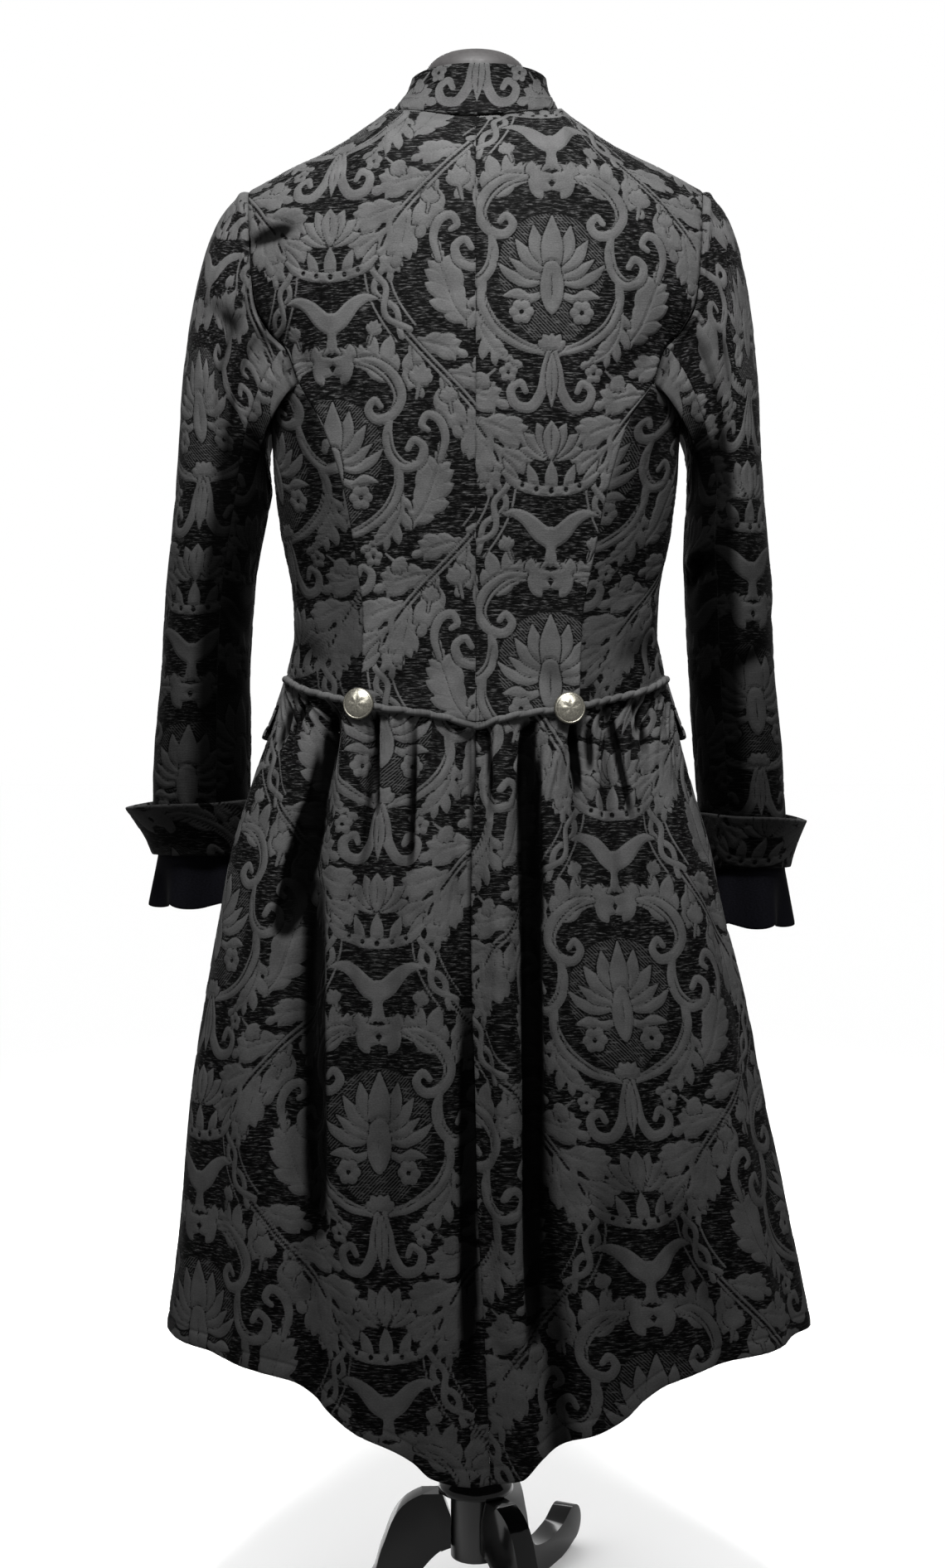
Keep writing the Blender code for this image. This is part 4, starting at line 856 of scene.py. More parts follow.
def sampled(field, across, up):
    """The damask's field at places on the cloth, read smoothly between its cells."""
    half = REPEAT_WIDTH / 2
    x = np.abs((across + half) % REPEAT_WIDTH - half) / CELL
    i = np.clip(np.floor(x).astype(int), 0, field.shape[1] - 2)
    j = np.floor(up / CELL).astype(int)
    fx = x - i
    low, high = (field[k % len(field), i] * (1 - fx) + field[k % len(field), i + 1] * fx for k in (j, j + 1))
    return low + (high - low) * (up / CELL - j)


# Cloth pieces

TURN_IN = 0.008
SEAM_DIP = 0.0011
SEAM_WIDTH = 0.0022
HEM_STITCH = 0.012
STITCH_ROWS = (-0.0025, -0.0012, 0.0, 0.0012, 0.0025)
HEAD_ROLL = 0.0022
RELIEF_EDGE = 1.6

# Each kind of piece: the columns and rows of its grid; its first and last column's and first and last
# row's edges; its cloth's flat size, how that is held, and the share of it that is cloth, if not all
KINDS = {
    "back": (165, 345, "seam seam seam seam", (0.255, 0.593), "stretched", 0.69),
    "side": (50, 130, "seam seam seam seam", (0.133, 0.30), "stretched", 0.86),
    "front": (80, 175, "free seam seam seam", (0.251, 0.548), "stretched", 0.85),
    "collar": (270, 36, "free free seam free", (0.46, 0.065), "stretched", 0.8),
    "skirt_back": (230, 300, "seam seam seam hem", (0.395, 0.725), "gathered", 0.79),
    "skirt_front": (110, 185, "seam hem seam hem", (0.346, 0.624), "gathered", 0.9),
    "flap": (70, 34, "hem hem free hem", (0.150, 0.075), "hung", None),
    "sleeve_upper": (90, 250, "seam seam head free", (0.285, 0.654), "hung", 0.72),
    "sleeve_under": (50, 200, "seam seam head free", (0.150, 0.490), "hung", 0.75),
    "cuff": (170, 28, "closed closed free free", (0.380, 0.072), "stretched", None),
    "frill": (180, 30, "closed closed free free", (0.330, 0.082), "gathered", None),
    "piping_back": (260, 18, "closed closed closed closed", None, None, None),
    "piping_left": (200, 18, "closed closed closed closed", None, None, None),
    "piping_right": (240, 18, "closed closed closed closed", None, None, None),
}

# How far painted shade makes the cloth's colour darker: in a hollow, whose middle is looked for this far to
# each side; in a crease; and on sleeves below a height. Depths are where it starts and over how much it
# grows.
HOLLOW = (0.028, 0.0008, 0.007, 0.85)
CREASE = (0.0003, 0.0028, 0.95)
LOW_SLEEVE = (1.22, 0.2, 0.5)

# Painted shade on pieces with a side that lies turned to the body, out of the light: from which slant to
# which, how far, and below which height
TURNED_AWAY = {
    "sleeve_under": (-0.45, 0.05, 0.94, 9.0),
    "sleeve_upper": (-0.22, 0.10, 0.92, 1.262),
    "cuff": (-1.3, 0.0, 0.75, 9.0),
    "side": (-1.05, -0.75, 0.5, 9.0),
}

# Creases and ridges in mm, piece by piece: where each starts and ends (across and height, from the axis
# and the floor), how wide it is, how far it stands out (a minus sets it in), and 1 for the side that
# faces back or -1 for the one that faces forward
CREASES = {
    "back_left": """216 1329 168 1340 9 -4.8 1    205 1350 155 1357 11 2.8 1
        172 1235 120 1180 10 -3 1    160 1225 110 1160 8 2 1    100 915 20 930 12 -1.4 1""",
    "back_right": """-170 1240 -118 1178 10 -3.2 1    -158 1226 -108 1165 8 2 1
        -95 920 -20 938 12 -1.4 1""",
    "side_left": "130 930 180 960 12 -2 1",
    "side_right": "-130 930 -180 965 12 -2 1",
    "front_left": "175 1235 110 1170 12 -3.5 -1    150 940 20 965 14 -2.2 -1",
    "front_right": "-175 1235 -110 1165 12 -3.5 -1    -150 945 -20 960 14 -2.2 -1",
    "sleeve_upper_left": """252 1276 222 1246 10 -3 1    300 830 245 818 8 -3.5 1
        295 940 240 920 10 -3 -1    290 990 230 960 10 -3 -1""",
    "sleeve_under_left": "250 822 215 835 8 -3 1    240 990 215 960 10 -3.5 1",
    "sleeve_upper_right": """-225 1050 -265 1100 9 4 1    -300 960 -235 925 12 -3 1
        -300 820 -245 806 8 -3 1    -295 985 -235 950 10 -3 -1""",
    "sleeve_under_right": "-196 1015 -230 1060 8 5 1    -196 1000 -236 1045 8 -5 1",
    "skirt_back_left": """124 900 138 850 6 -2 1    136 862 156 780 9.5 -4 1
        152 790 176 690 13 -9 1    150 720 144 420 11 -6 1    91 888 91 792 2.6 -5.5 1
        74 880 76 760 12 3.5 1     112 870 116 700 12 3 1     58 870 60 740 3.5 -3.5 1
        50 640 52 330 20 4 1       6 640 6 300 8.5 -5 1       2 876 2 640 4.5 -4 1
        160 900 172 868 4 -4 1     176 892 186 855 4 -3.5 1""",
    "skirt_back_right": """-12 870 -14 790 3.5 -4.5 1    -49 868 -51 700 10.5 -6 1
        -50 730 -52 330 8.5 -8 1    -26 870 -30 330 12 4.5 1    -80 868 -62 794 3 4.5 1
        -90 872 -94 815 4 -5.5 1    -104 880 -106 835 4 -5 1    -122 893 -145 790 4 -5 1
        -150 900 -160 850 5 -3.5 1  -172 460 -212 330 16 -2 1   -120 560 -126 300 19 -1.4 1""",
}


def places_along(count, first, last, length):
    """Places along a piece, and how far each is set in: a seam dips, a free edge is turned under."""
    places = np.linspace(0, 1, count + 1)
    for end, kind in ((0.0, first), (1.0, last)):
        if kind in ("hem", "head"):
            places = np.union1d(places, np.abs(end - (HEM_STITCH + np.array(STITCH_ROWS)) / length))
    inset = np.zeros(len(places))
    for end, kind in ((0.0, first), (1.0, last)):
        if kind == "closed":
            continue
        away = np.abs(places - end) * length
        if kind in ("seam", "head"):
            inset += SEAM_DIP * np.exp(-(away / SEAM_WIDTH) ** 2)
            extra, depth = [end], [CLOTH]
            if kind == "head":
                inset -= HEAD_ROLL * np.exp(-((away - 0.010) / 0.007) ** 2)
        else:
            inset += 0.0003 * np.exp(-(away / 0.0012) ** 2)
            if kind == "hem":
                inset += 0.0009 * np.exp(-((away - HEM_STITCH) / 0.0014) ** 2)
                inset -= 0.0005 * np.exp(-((away - 0.006) / 0.004) ** 2)
            back = min(TURN_IN / length, 0.4)
            extra, depth = [end, end, abs(end - back)], [CLOTH * 0.5, CLOTH * 0.9, CLOTH]
        if end:
            places = np.concatenate([places, extra])
            inset = np.concatenate([inset, depth])
        else:
            places = np.concatenate([extra[::-1], places])
            inset = np.concatenate([depth[::-1], inset])
    return places, inset


def surface_normals(shape, u, v, about):
    """Normals that point away from the piece's own middle line."""
    step = 0.002
    u0, u1 = np.clip(u - step, 0, 1), np.clip(u + step, 0, 1)
    v0, v1 = np.clip(v - step, 0, 1), np.clip(v + step, 0, 1)
    normal = np.cross(shape(u1, v) - shape(u0, v), shape(u, v1) - shape(u, v0))
    normal /= np.maximum(np.linalg.norm(normal, axis=-1, keepdims=True), 1e-12)
    points = shape(u, v)
    if about is None:
        away = points - points.mean(axis=0, keepdims=True)
    else:
        away = points - np.array([about[0], about[1], 0.0])
        away[..., 2] = 0.0
    return -normal if np.sum(normal * away) < 0 else normal


def creased(points, name):
    """How far the creases and ridges of a piece move each of its points."""
    total = np.zeros(points.shape[:2])
    steep = 4 if name.startswith("skirt") else 2
    for row in np.array(CREASES.get(name, "").split(), float).reshape(-1, 7):
        start, end, (wide, deep), facing = row[:2] / 1000, row[2:4] / 1000, row[4:6] / 1000, row[6]
        flat = points[..., (0, 2)]
        way = np.clip(((flat - start) @ (end - start)) / np.sum((end - start) ** 2), 0, 1)
        near = np.linalg.norm(flat - start - way[..., None] * (end - start), axis=-1)
        fade = np.sin(np.pi * (0.12 + 0.76 * way))
        side = np.clip(points[..., 1] * facing * 40 + 0.5, 0, 1)
        total += deep * fade * side * np.exp(-(near / wide) ** steep)
    return total * bpy.context.scene.coat_sizes.creases


def wandering(across, up):
    """Slow unevenness of hanging cloth, a millimetre or less."""
    a, b = across * 1000, up * 1000
    slow = np.sin(a / 11.0 + 1.3 * np.sin(b / 47.0)) * np.sin(b / 31.0 + a / 90.0)
    fast = np.sin(a / 5.3 + b / 17.0 + 2.0) * np.sin(b / 9.1 - a / 23.0)
    return 0.0005 * slow + 0.0002 * fast


def gathers(across, fall):
    """Small gathers below a seam, which die out down the cloth."""
    a = across * 1000
    wave = np.sin(a / 2.9 + 1.9 * np.sin(a / 13.0)) + 0.6 * np.sin(a / 1.7 + 2.3 * np.sin(a / 21.0))
    wave = np.where(wave < 0, 0.4 * wave, 1.2 * wave)
    return 0.0016 * wave * (1 - np.exp(-fall / 0.004)) * np.exp(-(fall / 0.06) ** 1.2)


def shelter(name, points, normals, fold):
    """Painted shade: how much darker each point's colour is made, from 0 to nearly 1, down in a fold, on a
    side turned to the body, and low on a sleeve."""
    reach, start, grows, most = HOLLOW
    steps = np.linalg.norm(np.diff(points, axis=1), axis=-1)
    reach = int(np.clip(reach / np.median(steps), 1, points.shape[1] // 3))
    padded = np.concatenate([2 * points[:, :1] - points[:, reach:0:-1], points,
                             2 * points[:, -1:] - points[:, -2:-2 - reach:-1]], axis=1)
    total = np.cumsum(np.concatenate([np.zeros_like(padded[:, :1]), padded], axis=1), axis=1)
    mean = (total[:, 2 * reach + 1:] - total[:, :-2 * reach - 1]) / (2 * reach + 1)
    hollow = np.sum((mean - points) * normals, axis=-1)
    light = 1 - most * np.clip((hollow - start) / grows, 0, 1)
    start, grows, most = CREASE
    light *= 1 - np.clip((-fold - start) / grows, 0, most)
    side = 1.0 if "left" in name else -1.0
    low, high, most, top = TURNED_AWAY.get(name.rpartition("_")[0], (2.0, 3.0, 0.0, 9.0))
    away = np.clip((-side * normals[..., 0] - low) / (high - low), 0, 1)
    light *= 1 - most * eased(away * np.clip((top - points[..., 2]) / 0.03, 0, 1))
    if name.startswith("sleeve"):
        top, grows, most = LOW_SLEEVE
        light *= 1 - most * np.clip((top - points[..., 2]) / grows, 0, 1)
    return 1 - light


def lengths(points, axis, whole):
    """Distances along the cloth's threads from its first row or column."""
    steps = np.diff(points, axis=axis)
    if whole:
        run = np.linalg.norm(steps, axis=-1)
    elif axis == 1:
        run = np.hypot(steps[..., 0], steps[..., 1])
    else:
        run = np.hypot(steps[..., 2], steps[..., 1] * 0.7) * np.sign(steps[..., 2] + 1e-9)
    return np.insert(np.cumsum(run, axis=axis), 0, 0.0, axis=axis)


def mesh_from(bm, name):
    mesh = bpy.data.meshes.new(name)
    bm.to_mesh(mesh)
    bm.free()
    return mesh


def placed(name, data):
    """A new object in the scene."""
    item = bpy.data.objects.new(name, data)
    bpy.context.scene.collection.objects.link(item)
    return item


def fitted(name, ending, mesh, finish, slot):
    """A finished piece, which rides with the coat in place of the solid of its name."""
    mesh.materials.append(finish_named(finish))
    mesh.shade_smooth()
    item = placed(name + ending, mesh)
    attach(item, "root")
    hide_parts(name)
    return item


def cloth(name, shape, about=(0, 0), zero=0.0, level=0.0):
    """A thin shell on a piece's form, with its damask standing a little proud of the ground."""
    kind = name.rpartition("_")[0] or name
    columns, rows, edges, flat_size, held, share = KINDS.get(name) or KINDS[kind]
    edges = edges.split()
    closed = "closed" in edges
    whole = name.startswith(("sleeve", "piping"))
    probe = np.linspace(0, 1, 40)
    half = np.full(40, 0.5)
    wide = np.linalg.norm(np.diff(shape(probe, half), axis=0), axis=1).sum()
    tall = np.linalg.norm(np.diff(shape(half, probe), axis=0), axis=1).sum()
    us, inset_u = places_along(columns, *edges[:2], wide)
    vs, inset_v = places_along(rows, *edges[2:], tall)
    u, v = np.meshgrid(us, vs)
    points = shape(u, v)
    normals = surface_normals(shape, u, v, about)
    across = lengths(points, 1, whole)
    across -= across[:, np.argmin(np.abs(us - zero))][:, None]
    run = lengths(points, 0, whole)
    start = np.argmin(np.abs(vs - level))
    fall = run - run[start]
    if whole:
        fall *= np.sign(points[-1, :, 2].mean() - points[0, :, 2].mean())
    up = points[start][None, :, 2] + fall
    fold = np.zeros(u.shape) if closed else creased(points, name) + wandering(across, up)
    if kind.startswith("skirt"):
        fold += gathers(across, np.abs(run))
    move = fold.copy()
    values = {"damask": np.full(u.shape, 2.0)}
    if name in PLACEMENT:
        side, height = PLACEMENT[name]
        for label, field in (("damask", MOTIF), ("hatch", HATCH)):
            values[label] = sampled(field, across * 1000 + side, up * 1000 - height)
        move += bpy.context.scene.coat_sizes.relief * eased(values["damask"] / RELIEF_EDGE + 0.3)
    # painted shade: how much darker the colour is made in folds, on sides turned to the body and low on
    # sleeves
    values["shelter"] = shelter(name, points + normals * fold[..., None], normals, fold)
    inset = np.maximum(inset_u[None, :], inset_v[:, None])
    bead = np.minimum(np.minimum(inset_u[None, :], inset_v[:, None]), 0.0)
    points = points + normals * (move - inset - bead)[..., None] + AXIS
    bm = bmesh.new()
    bmesh.ops.create_grid(bm, x_segments=len(us) - 1, y_segments=len(vs) - 1, size=0.5)
    mesh = mesh_from(bm, name + "_cloth")
    place = np.zeros(len(mesh.vertices) * 3)
    mesh.vertices.foreach_get("co", place)
    i, j, _ = np.rint((place.reshape(-1, 3).T + 0.5) * [[len(us) - 1], [len(vs) - 1], [0]]).astype(int)
    mesh.vertices.foreach_set("co", points[j, i].ravel())
    corners = np.zeros(len(mesh.loops), int)
    mesh.loops.foreach_get("vertex_index", corners)
    flat = np.stack([across[j, i], up[j, i]], axis=-1)[corners]
    mesh.uv_layers.new(name="Cloth").data.foreach_set("uv", flat.ravel().astype(np.float32))
    for label, value in values.items():
        channel = mesh.attributes.new(label, "FLOAT", "POINT")
        channel.data.foreach_set("value", value[j, i].astype(np.float32))
    mesh.update()
    first = mesh.polygons[len(mesh.polygons) // 2]
    if np.dot(normals[j, i][first.vertices[0]], first.normal) < 0:
        mesh.flip_normals()
    if closed:
        bm = bmesh.new()
        bm.from_mesh(mesh)
        bmesh.ops.remove_doubles(bm, verts=bm.verts, dist=1e-6)
        bm.to_mesh(mesh)
        bm.free()
    finish = ("Thin black cotton", "voile") if kind == "frill" else ("Black damask brocade", "brocade")
    item = fitted(name, "_cloth", mesh, *finish)


# Finishes


def feed(tree, node, inputs):
    """Sets a node's inputs, each to a value or by a link from another socket."""
    for key, value in inputs.items():
        if isinstance(value, bpy.types.NodeSocket):
            tree.links.new(value, node.inputs[key])
        else:
            node.inputs[key].default_value = value


def add_node(tree, kind, inputs, out=0, stops=(), **settings):
    """Adds a node with its settings, links and a ramp's stops, and gives one of its outputs."""
    made = tree.nodes.new("ShaderNode" + kind)
    for key, value in settings.items():
        setattr(made, key, value)
    feed(tree, made, inputs)
    if stops:
        elements = made.color_ramp.elements
        while len(elements) < len(stops):
            elements.new(0.5)
        for element, (place, colour) in zip(elements, stops):
            element.position = place
            element.color = colour
    return made.outputs[out]


def tones(colour, *stops):
    """A ramp's stops of one colour, made darker or lighter by the factor at each place."""
    return [(place, [min(channel * times, 1.0) for channel in colour[:3]] + [1.0])
            for place, times in stops]


def new_material(name, inputs):
    made = bpy.data.materials.new(name)
    made.use_nodes = True
    shader = made.node_tree.nodes["Principled BSDF"]
    feed(made.node_tree, shader, inputs)
    return made, made.node_tree, shader


def brocade_material(sizes):
    """Black damask brocade: a dark weft-ribbed ground with paler flecks, and soft raised motifs."""
    made, tree, shader = new_material("Black damask brocade", {
        "Sheen Weight": 0.003, "Sheen Roughness": 0.4, "Specular IOR Level": 0.004})
    uv = add_node(tree, "UVMap", {}, uv_map="Cloth")
    split = add_node(tree, "SeparateXYZ", {"Vector": uv}).node.outputs
    held = {"x": split["X"], "y": split["Y"]}
    # the painted shade comes in as its own attribute, beside the damask and the hatch
    for name in ("damask", "hatch", "shelter"):
        held[name] = add_node(tree, "Attribute", {}, "Fac", attribute_name=name)
    # weft slubs about 14 mm long and 1.6 mm high; the thread itself is too fine to show
    for name, across, up, detail, rough in (
            ("slub", 72, 620, 3.0, 0.7), ("fleck", 150, 900, 2.0, 0.6),
            ("fuzz", 500, 1100, 2.0, 0.6), ("cloud", 28, 40, 2.0, 0.6)):
        at = add_node(tree, "Mapping", {"Vector": uv, "Scale": (across, up, 1.0)}, vector_type="POINT")
        held[name] = add_node(tree, "TexNoise", {
            "Vector": at, "Scale": 1.0, "Detail": detail, "Roughness": rough}, noise_dimensions="2D")
    # ragged motif edges, slanting hatch lines every 3.4 mm, and each height and gloss; no name of an
    # operation means that a value is brought from one range to another
    for name, operation, *values in (
            ("ragged", "MULTIPLY_ADD", "fuzz", 1.1, -0.55),
            ("edge", "ADD", "damask", "ragged"),
            ("motif", None, "edge", -0.3, 0.35),
            ("slope", "ADD", "x", "y"),
            ("phase", "MULTIPLY", "slope", 2 * math.pi / 0.0034),
            ("line", "SINE", "phase"),
            ("line", None, "line", -0.1, 0.4),
            ("hatched", None, "hatch", 0.0, 0.8),
            ("lines", "MULTIPLY", "line", "hatched"),
            ("lines", "MULTIPLY", "lines", 0.5),
            ("raised", "MAXIMUM", "motif", "lines"),
            ("slubs", "MULTIPLY", "slub", 0.6),
            ("weft", "MULTIPLY_ADD", "fleck", 0.4, "slubs"),
            ("half_fuzz", "MULTIPLY", "fuzz", 0.5),
            ("nap", "MULTIPLY_ADD", "cloud", 0.5, "half_fuzz"),
            # left: the share of the colour kept after the painted shade
            ("left", "SUBTRACT", 1.0, "shelter"),
            ("gloss", None, "motif", 0, 1, 0.62, 0.82),
            ("proud", None, "damask", -0.4, 2.6),
            ("rib", "MULTIPLY", "slub", 0.4),
            ("height", "ADD", "proud", "rib"),
            ("height", "MULTIPLY_ADD", "fuzz", 0.15, "height")):
        inputs = {place: held.get(value, value) for place, value in enumerate(values)}
        settings = {"operation": operation} if operation else {}
        held[name] = add_node(tree, "Math" if operation else "MapRange", inputs, **settings)
    ground = add_node(tree, "ValToRGB", {"Fac": held["weft"]}, stops=tones(
        sizes.ground, (0.0, 0.1), (0.49, 0.3), (0.56, 1.5), (0.64, 7.0), (0.8, 14.0)))
    pile = add_node(tree, "ValToRGB", {"Fac": held["nap"]}, stops=tones(
        sizes.motif, (0.3, 0.72), (0.5, 1.0), (0.7, 1.3)))
    colour = add_node(tree, "Mix", {"Factor": held["raised"], 6: ground, 7: pile}, 2, data_type="RGBA")
    # painted shade: the colour of cloth in a fold, turned to the body and low on a sleeve is made darker, as
    # if it caught little light
    colour = add_node(tree, "VectorMath", {0: colour, "Scale": held["left"]}, operation="SCALE")
    bump = add_node(tree, "Bump", {"Strength": 0.7, "Distance": 0.0007, "Height": held["height"]})
    feed(tree, shader, {"Base Color": colour, "Roughness": held["gloss"], "Normal": bump})
    return made


def voile_material(sizes):
    """Thin plain black cotton: matt, with a faint crosswise grain."""
    made, tree, shader = new_material("Thin black cotton", {
        "Roughness": 0.85, "Sheen Weight": 0.002, "Specular IOR Level": 0.008})
    uv = add_node(tree, "UVMap", {}, uv_map="Cloth")
    at = add_node(tree, "Mapping", {"Vector": uv, "Scale": (400, 900, 1)})
    grain = add_node(tree, "TexNoise", {"Vector": at, "Scale": 1.0, "Detail": 2.0}, noise_dimensions="2D")
    colour = add_node(tree, "ValToRGB", {"Fac": grain}, stops=tones(sizes.cotton, (0.3, 0.7), (0.7, 1.4)))
    bump = add_node(tree, "Bump", {"Strength": 0.3, "Distance": 0.0003, "Height": grain})
    feed(tree, shader, {"Base Color": colour, "Normal": bump})
    return made


# Plain finishes: the colour or the size group's name for it, how far it wanders, how rough the finish
# is, its grain per metre, how deep that is, and what else is set
PLAIN = {
    # cast metal, dulled in patches: a broken, warm grey shine
    "Antique pewter": ("metal", 0.3, 0.42, 700, 0.0003, {"Metallic": 1.0}),
    # knitted cloth: matt, with a soft paler rim
    "Grey jersey": ("jersey", 0.1, 0.85, 1500, 0.0003, {"Sheen Weight": 0.2}),
    # moulded cap with a satin face: a wide, faint highlight
    "Dark satin cap": ("#161515", 0.1, 0.6, 250, 0.0001, {"Specular IOR Level": 0.1}),
    # rubbed lacquer on the turned column: soft upright streaks of light
    "Satin black lacquer": ("#101010", 0.2, 0.3, 30, 0.00005, {"Specular IOR Level": 0.25}),
    # painted tube: a dull shine with a fine grain
    "Black painted steel": ("lacquer", 0.2, 0.35, 120, 0.0001, {"Specular IOR Level": 0.15}),
    # sprayed lacquer on the legs: sharp, narrow highlights on black
    "Gloss black lacquer": ("lacquer", 0.2, 0.1, 30, 0.00005, {"Specular IOR Level": 0.12}),
}


def plain_material(name, sizes):
    """A finish whose colour and gloss wander a little with a noise of a real grain size."""
    tint, spread, roughness, scale, bump_height, constants = PLAIN[name]
    colour = linear(tint) if tint.startswith("#") else getattr(sizes, tint)
    made, tree, shader = new_material(name, constants)
    at = add_node(tree, "TexCoord", {}, "Object")
    grain = add_node(tree, "TexNoise", {"Vector": at, "Scale": scale, "Detail": 3.0})
    shade = add_node(tree, "ValToRGB", {"Fac": grain},
                     stops=tones(colour, (0.3, 1 - spread), (0.7, 1 + spread)))
    rough = add_node(tree, "MapRange",
                     {"Value": grain, "To Min": roughness * 0.8, "To Max": roughness * 1.25})
    bump = add_node(tree, "Bump", {"Strength": 0.3, "Distance": bump_height, "Height": grain})
    feed(tree, shader, {"Base Color": shade, "Roughness": rough, "Normal": bump})
    return made


def finish_named(name):
    """The finish by its maker's name, made the first time that it is asked for."""
    sizes = bpy.context.scene.coat_sizes
    found = bpy.data.materials.get(name)
    if found:
        return found
    if name == "Black damask brocade":
        return brocade_material(sizes)
    if name == "Thin black cotton":
        return voile_material(sizes)
    return plain_material(name, sizes)


# Hard pieces

# Each profile goes from the top's middle outwards and down. The button's is in shares of its radius
# and height, the cap's in shares of its radius and in metres.
BUTTON_PROFILE = Table("r z", """
    0 1   0.10 1   0.22 0.985   0.34 0.95   0.46 0.90   0.58 0.82   0.70 0.71   0.80 0.58
    0.84 0.52   0.88 0.55   0.93 0.50   0.98 0.36   1 0.2   0.985 0.06   0.94 0""").rows
CAP_PROFILE = Table("r z", """
    0 0.0290   0.25 0.0287   0.44 0.0281   0.60 0.0262   0.72 0.0242   0.82 0.0212
    0.90 0.0175   0.96 0.0130   0.99 0.0095   1 0.0060   1 0   0 0""").rows


def hard_piece(name, bm, finish, slot, smooth=35):
    """A hard piece from its mesh, in place of the plain one of the same name."""
    if bm.calc_volume(signed=True) < 0:
        bmesh.ops.reverse_faces(bm, faces=bm.faces)
    mesh = mesh_from(bm, name + "_fine")
    item = fitted(name, "_fine", mesh, finish, slot)
    mesh.set_sharp_from_angle(angle=math.radians(smooth))
    return item


def spun(profile, steps):
    """A closed mesh turned from a profile of radius and height about the upright line."""
    bm = bmesh.new()
    verts = [bm.verts.new((radius, 0, height)) for radius, height in profile]
    edges = [bm.edges.new(pair) for pair in zip(verts, verts[1:])]
    bmesh.ops.spin(bm, geom=verts + edges, cent=(0, 0, 0), axis=(0, 0, 1), dvec=(0, 0, 0),
                   angle=2 * math.pi, steps=steps, use_merge=True)
    bmesh.ops.remove_doubles(bm, verts=bm.verts, dist=1e-6)
    bmesh.ops.recalc_face_normals(bm, faces=bm.faces)
    return bm


def button(name, at, out, radius, height, shank_radius, shank):
    """A domed button with a rim and a worn rosette, turned on its own middle, over its shank."""
    rings = [(r * radius, z * height + shank) for r, z in BUTTON_PROFILE]
    rings += [(shank_radius, shank), (shank_radius * 0.8, shank / 2), (shank_radius, 0.0), (0.0, 0.0)]
    bm = spun(rings, 60)
    for vert in bm.verts:
        share = math.hypot(vert.co.x, vert.co.y) / radius
        if vert.co.z > shank + height * 0.4 and 0.05 < share < 0.85:
            turn = math.atan2(vert.co.y, vert.co.x)
            petals = math.cos(6 * turn) * math.exp(-((share - 0.42) / 0.18) ** 2)
            beads = math.cos(18 * turn) * math.exp(-((share - 0.74) / 0.05) ** 2)
            vert.co.z += radius * (0.022 * petals + 0.010 * beads - 0.02 * math.exp(-(share / 0.12) ** 2))
    place = Vector(out).to_track_quat("Z", "Y").to_matrix().to_4x4()
    bmesh.ops.transform(bm, matrix=Matrix.Translation(Vector(at)) @ place, verts=bm.verts)
    return hard_piece(name, bm, "Antique pewter", "pewter", 40)


def rounded(points, radius, steps=4):
    """A profile whose inner corners are rounded."""
    out = [points[0]]
    for before, at, after in zip(points, points[1:], points[2:]):
        at = Vector(at)
        start = Vector(before) - at
        end = Vector(after) - at
        reach = min(radius, start.length * 0.45, end.length * 0.45)
        first = at + start.normalized() * reach
        last = at + end.normalized() * reach
        for i in range(steps + 1):
            t = i / steps
            out.append(tuple(first * (1 - t) ** 2 + at * 2 * t * (1 - t) + last * t * t))
    return out + [points[-1]]


def turned(name, profile, finish, slot, middle):
    """A round piece turned from its profile about its own upright line."""
    bm = spun(profile, 96)
    bmesh.ops.translate(bm, vec=middle, verts=bm.verts)
    hard_piece(name, bm, finish, slot)


def leg_outline():
    """The flat board's outline: out along its upper edge, round the scroll, and back below."""
    ways = np.linspace(0, 1, 60)
    middle = np.stack([LEG.at("reach", ways), LEG.at("height", ways)], axis=-1)
    run = np.gradient(middle, axis=0)
    run /= np.linalg.norm(run, axis=-1, keepdims=True)
    across = np.stack([-run[:, 1], run[:, 0]], axis=-1) * LEG.at("half", ways)[:, None]
    turns = math.atan2(across[-1][1], across[-1][0]) - np.pi * np.arange(1, 24) / 24
    scroll = middle[-1] + LEG.rows[-1, -1] * np.stack([np.cos(turns), np.sin(turns)], axis=-1)
    return np.concatenate([middle + across, scroll, (middle - across)[::-1]])


def cut_flat(bm, place, normal):
    """Takes away all beyond a plane, and closes the cut."""
    parts = list(bm.verts) + list(bm.edges) + list(bm.faces)
    cut = bmesh.ops.bisect_plane(bm, geom=parts, dist=1e-6, plane_co=place, plane_no=normal,
                                 clear_outer=True)["geom_cut"]
    bmesh.ops.holes_fill(bm, edges=[item for item in cut if isinstance(item, bmesh.types.BMEdge)])


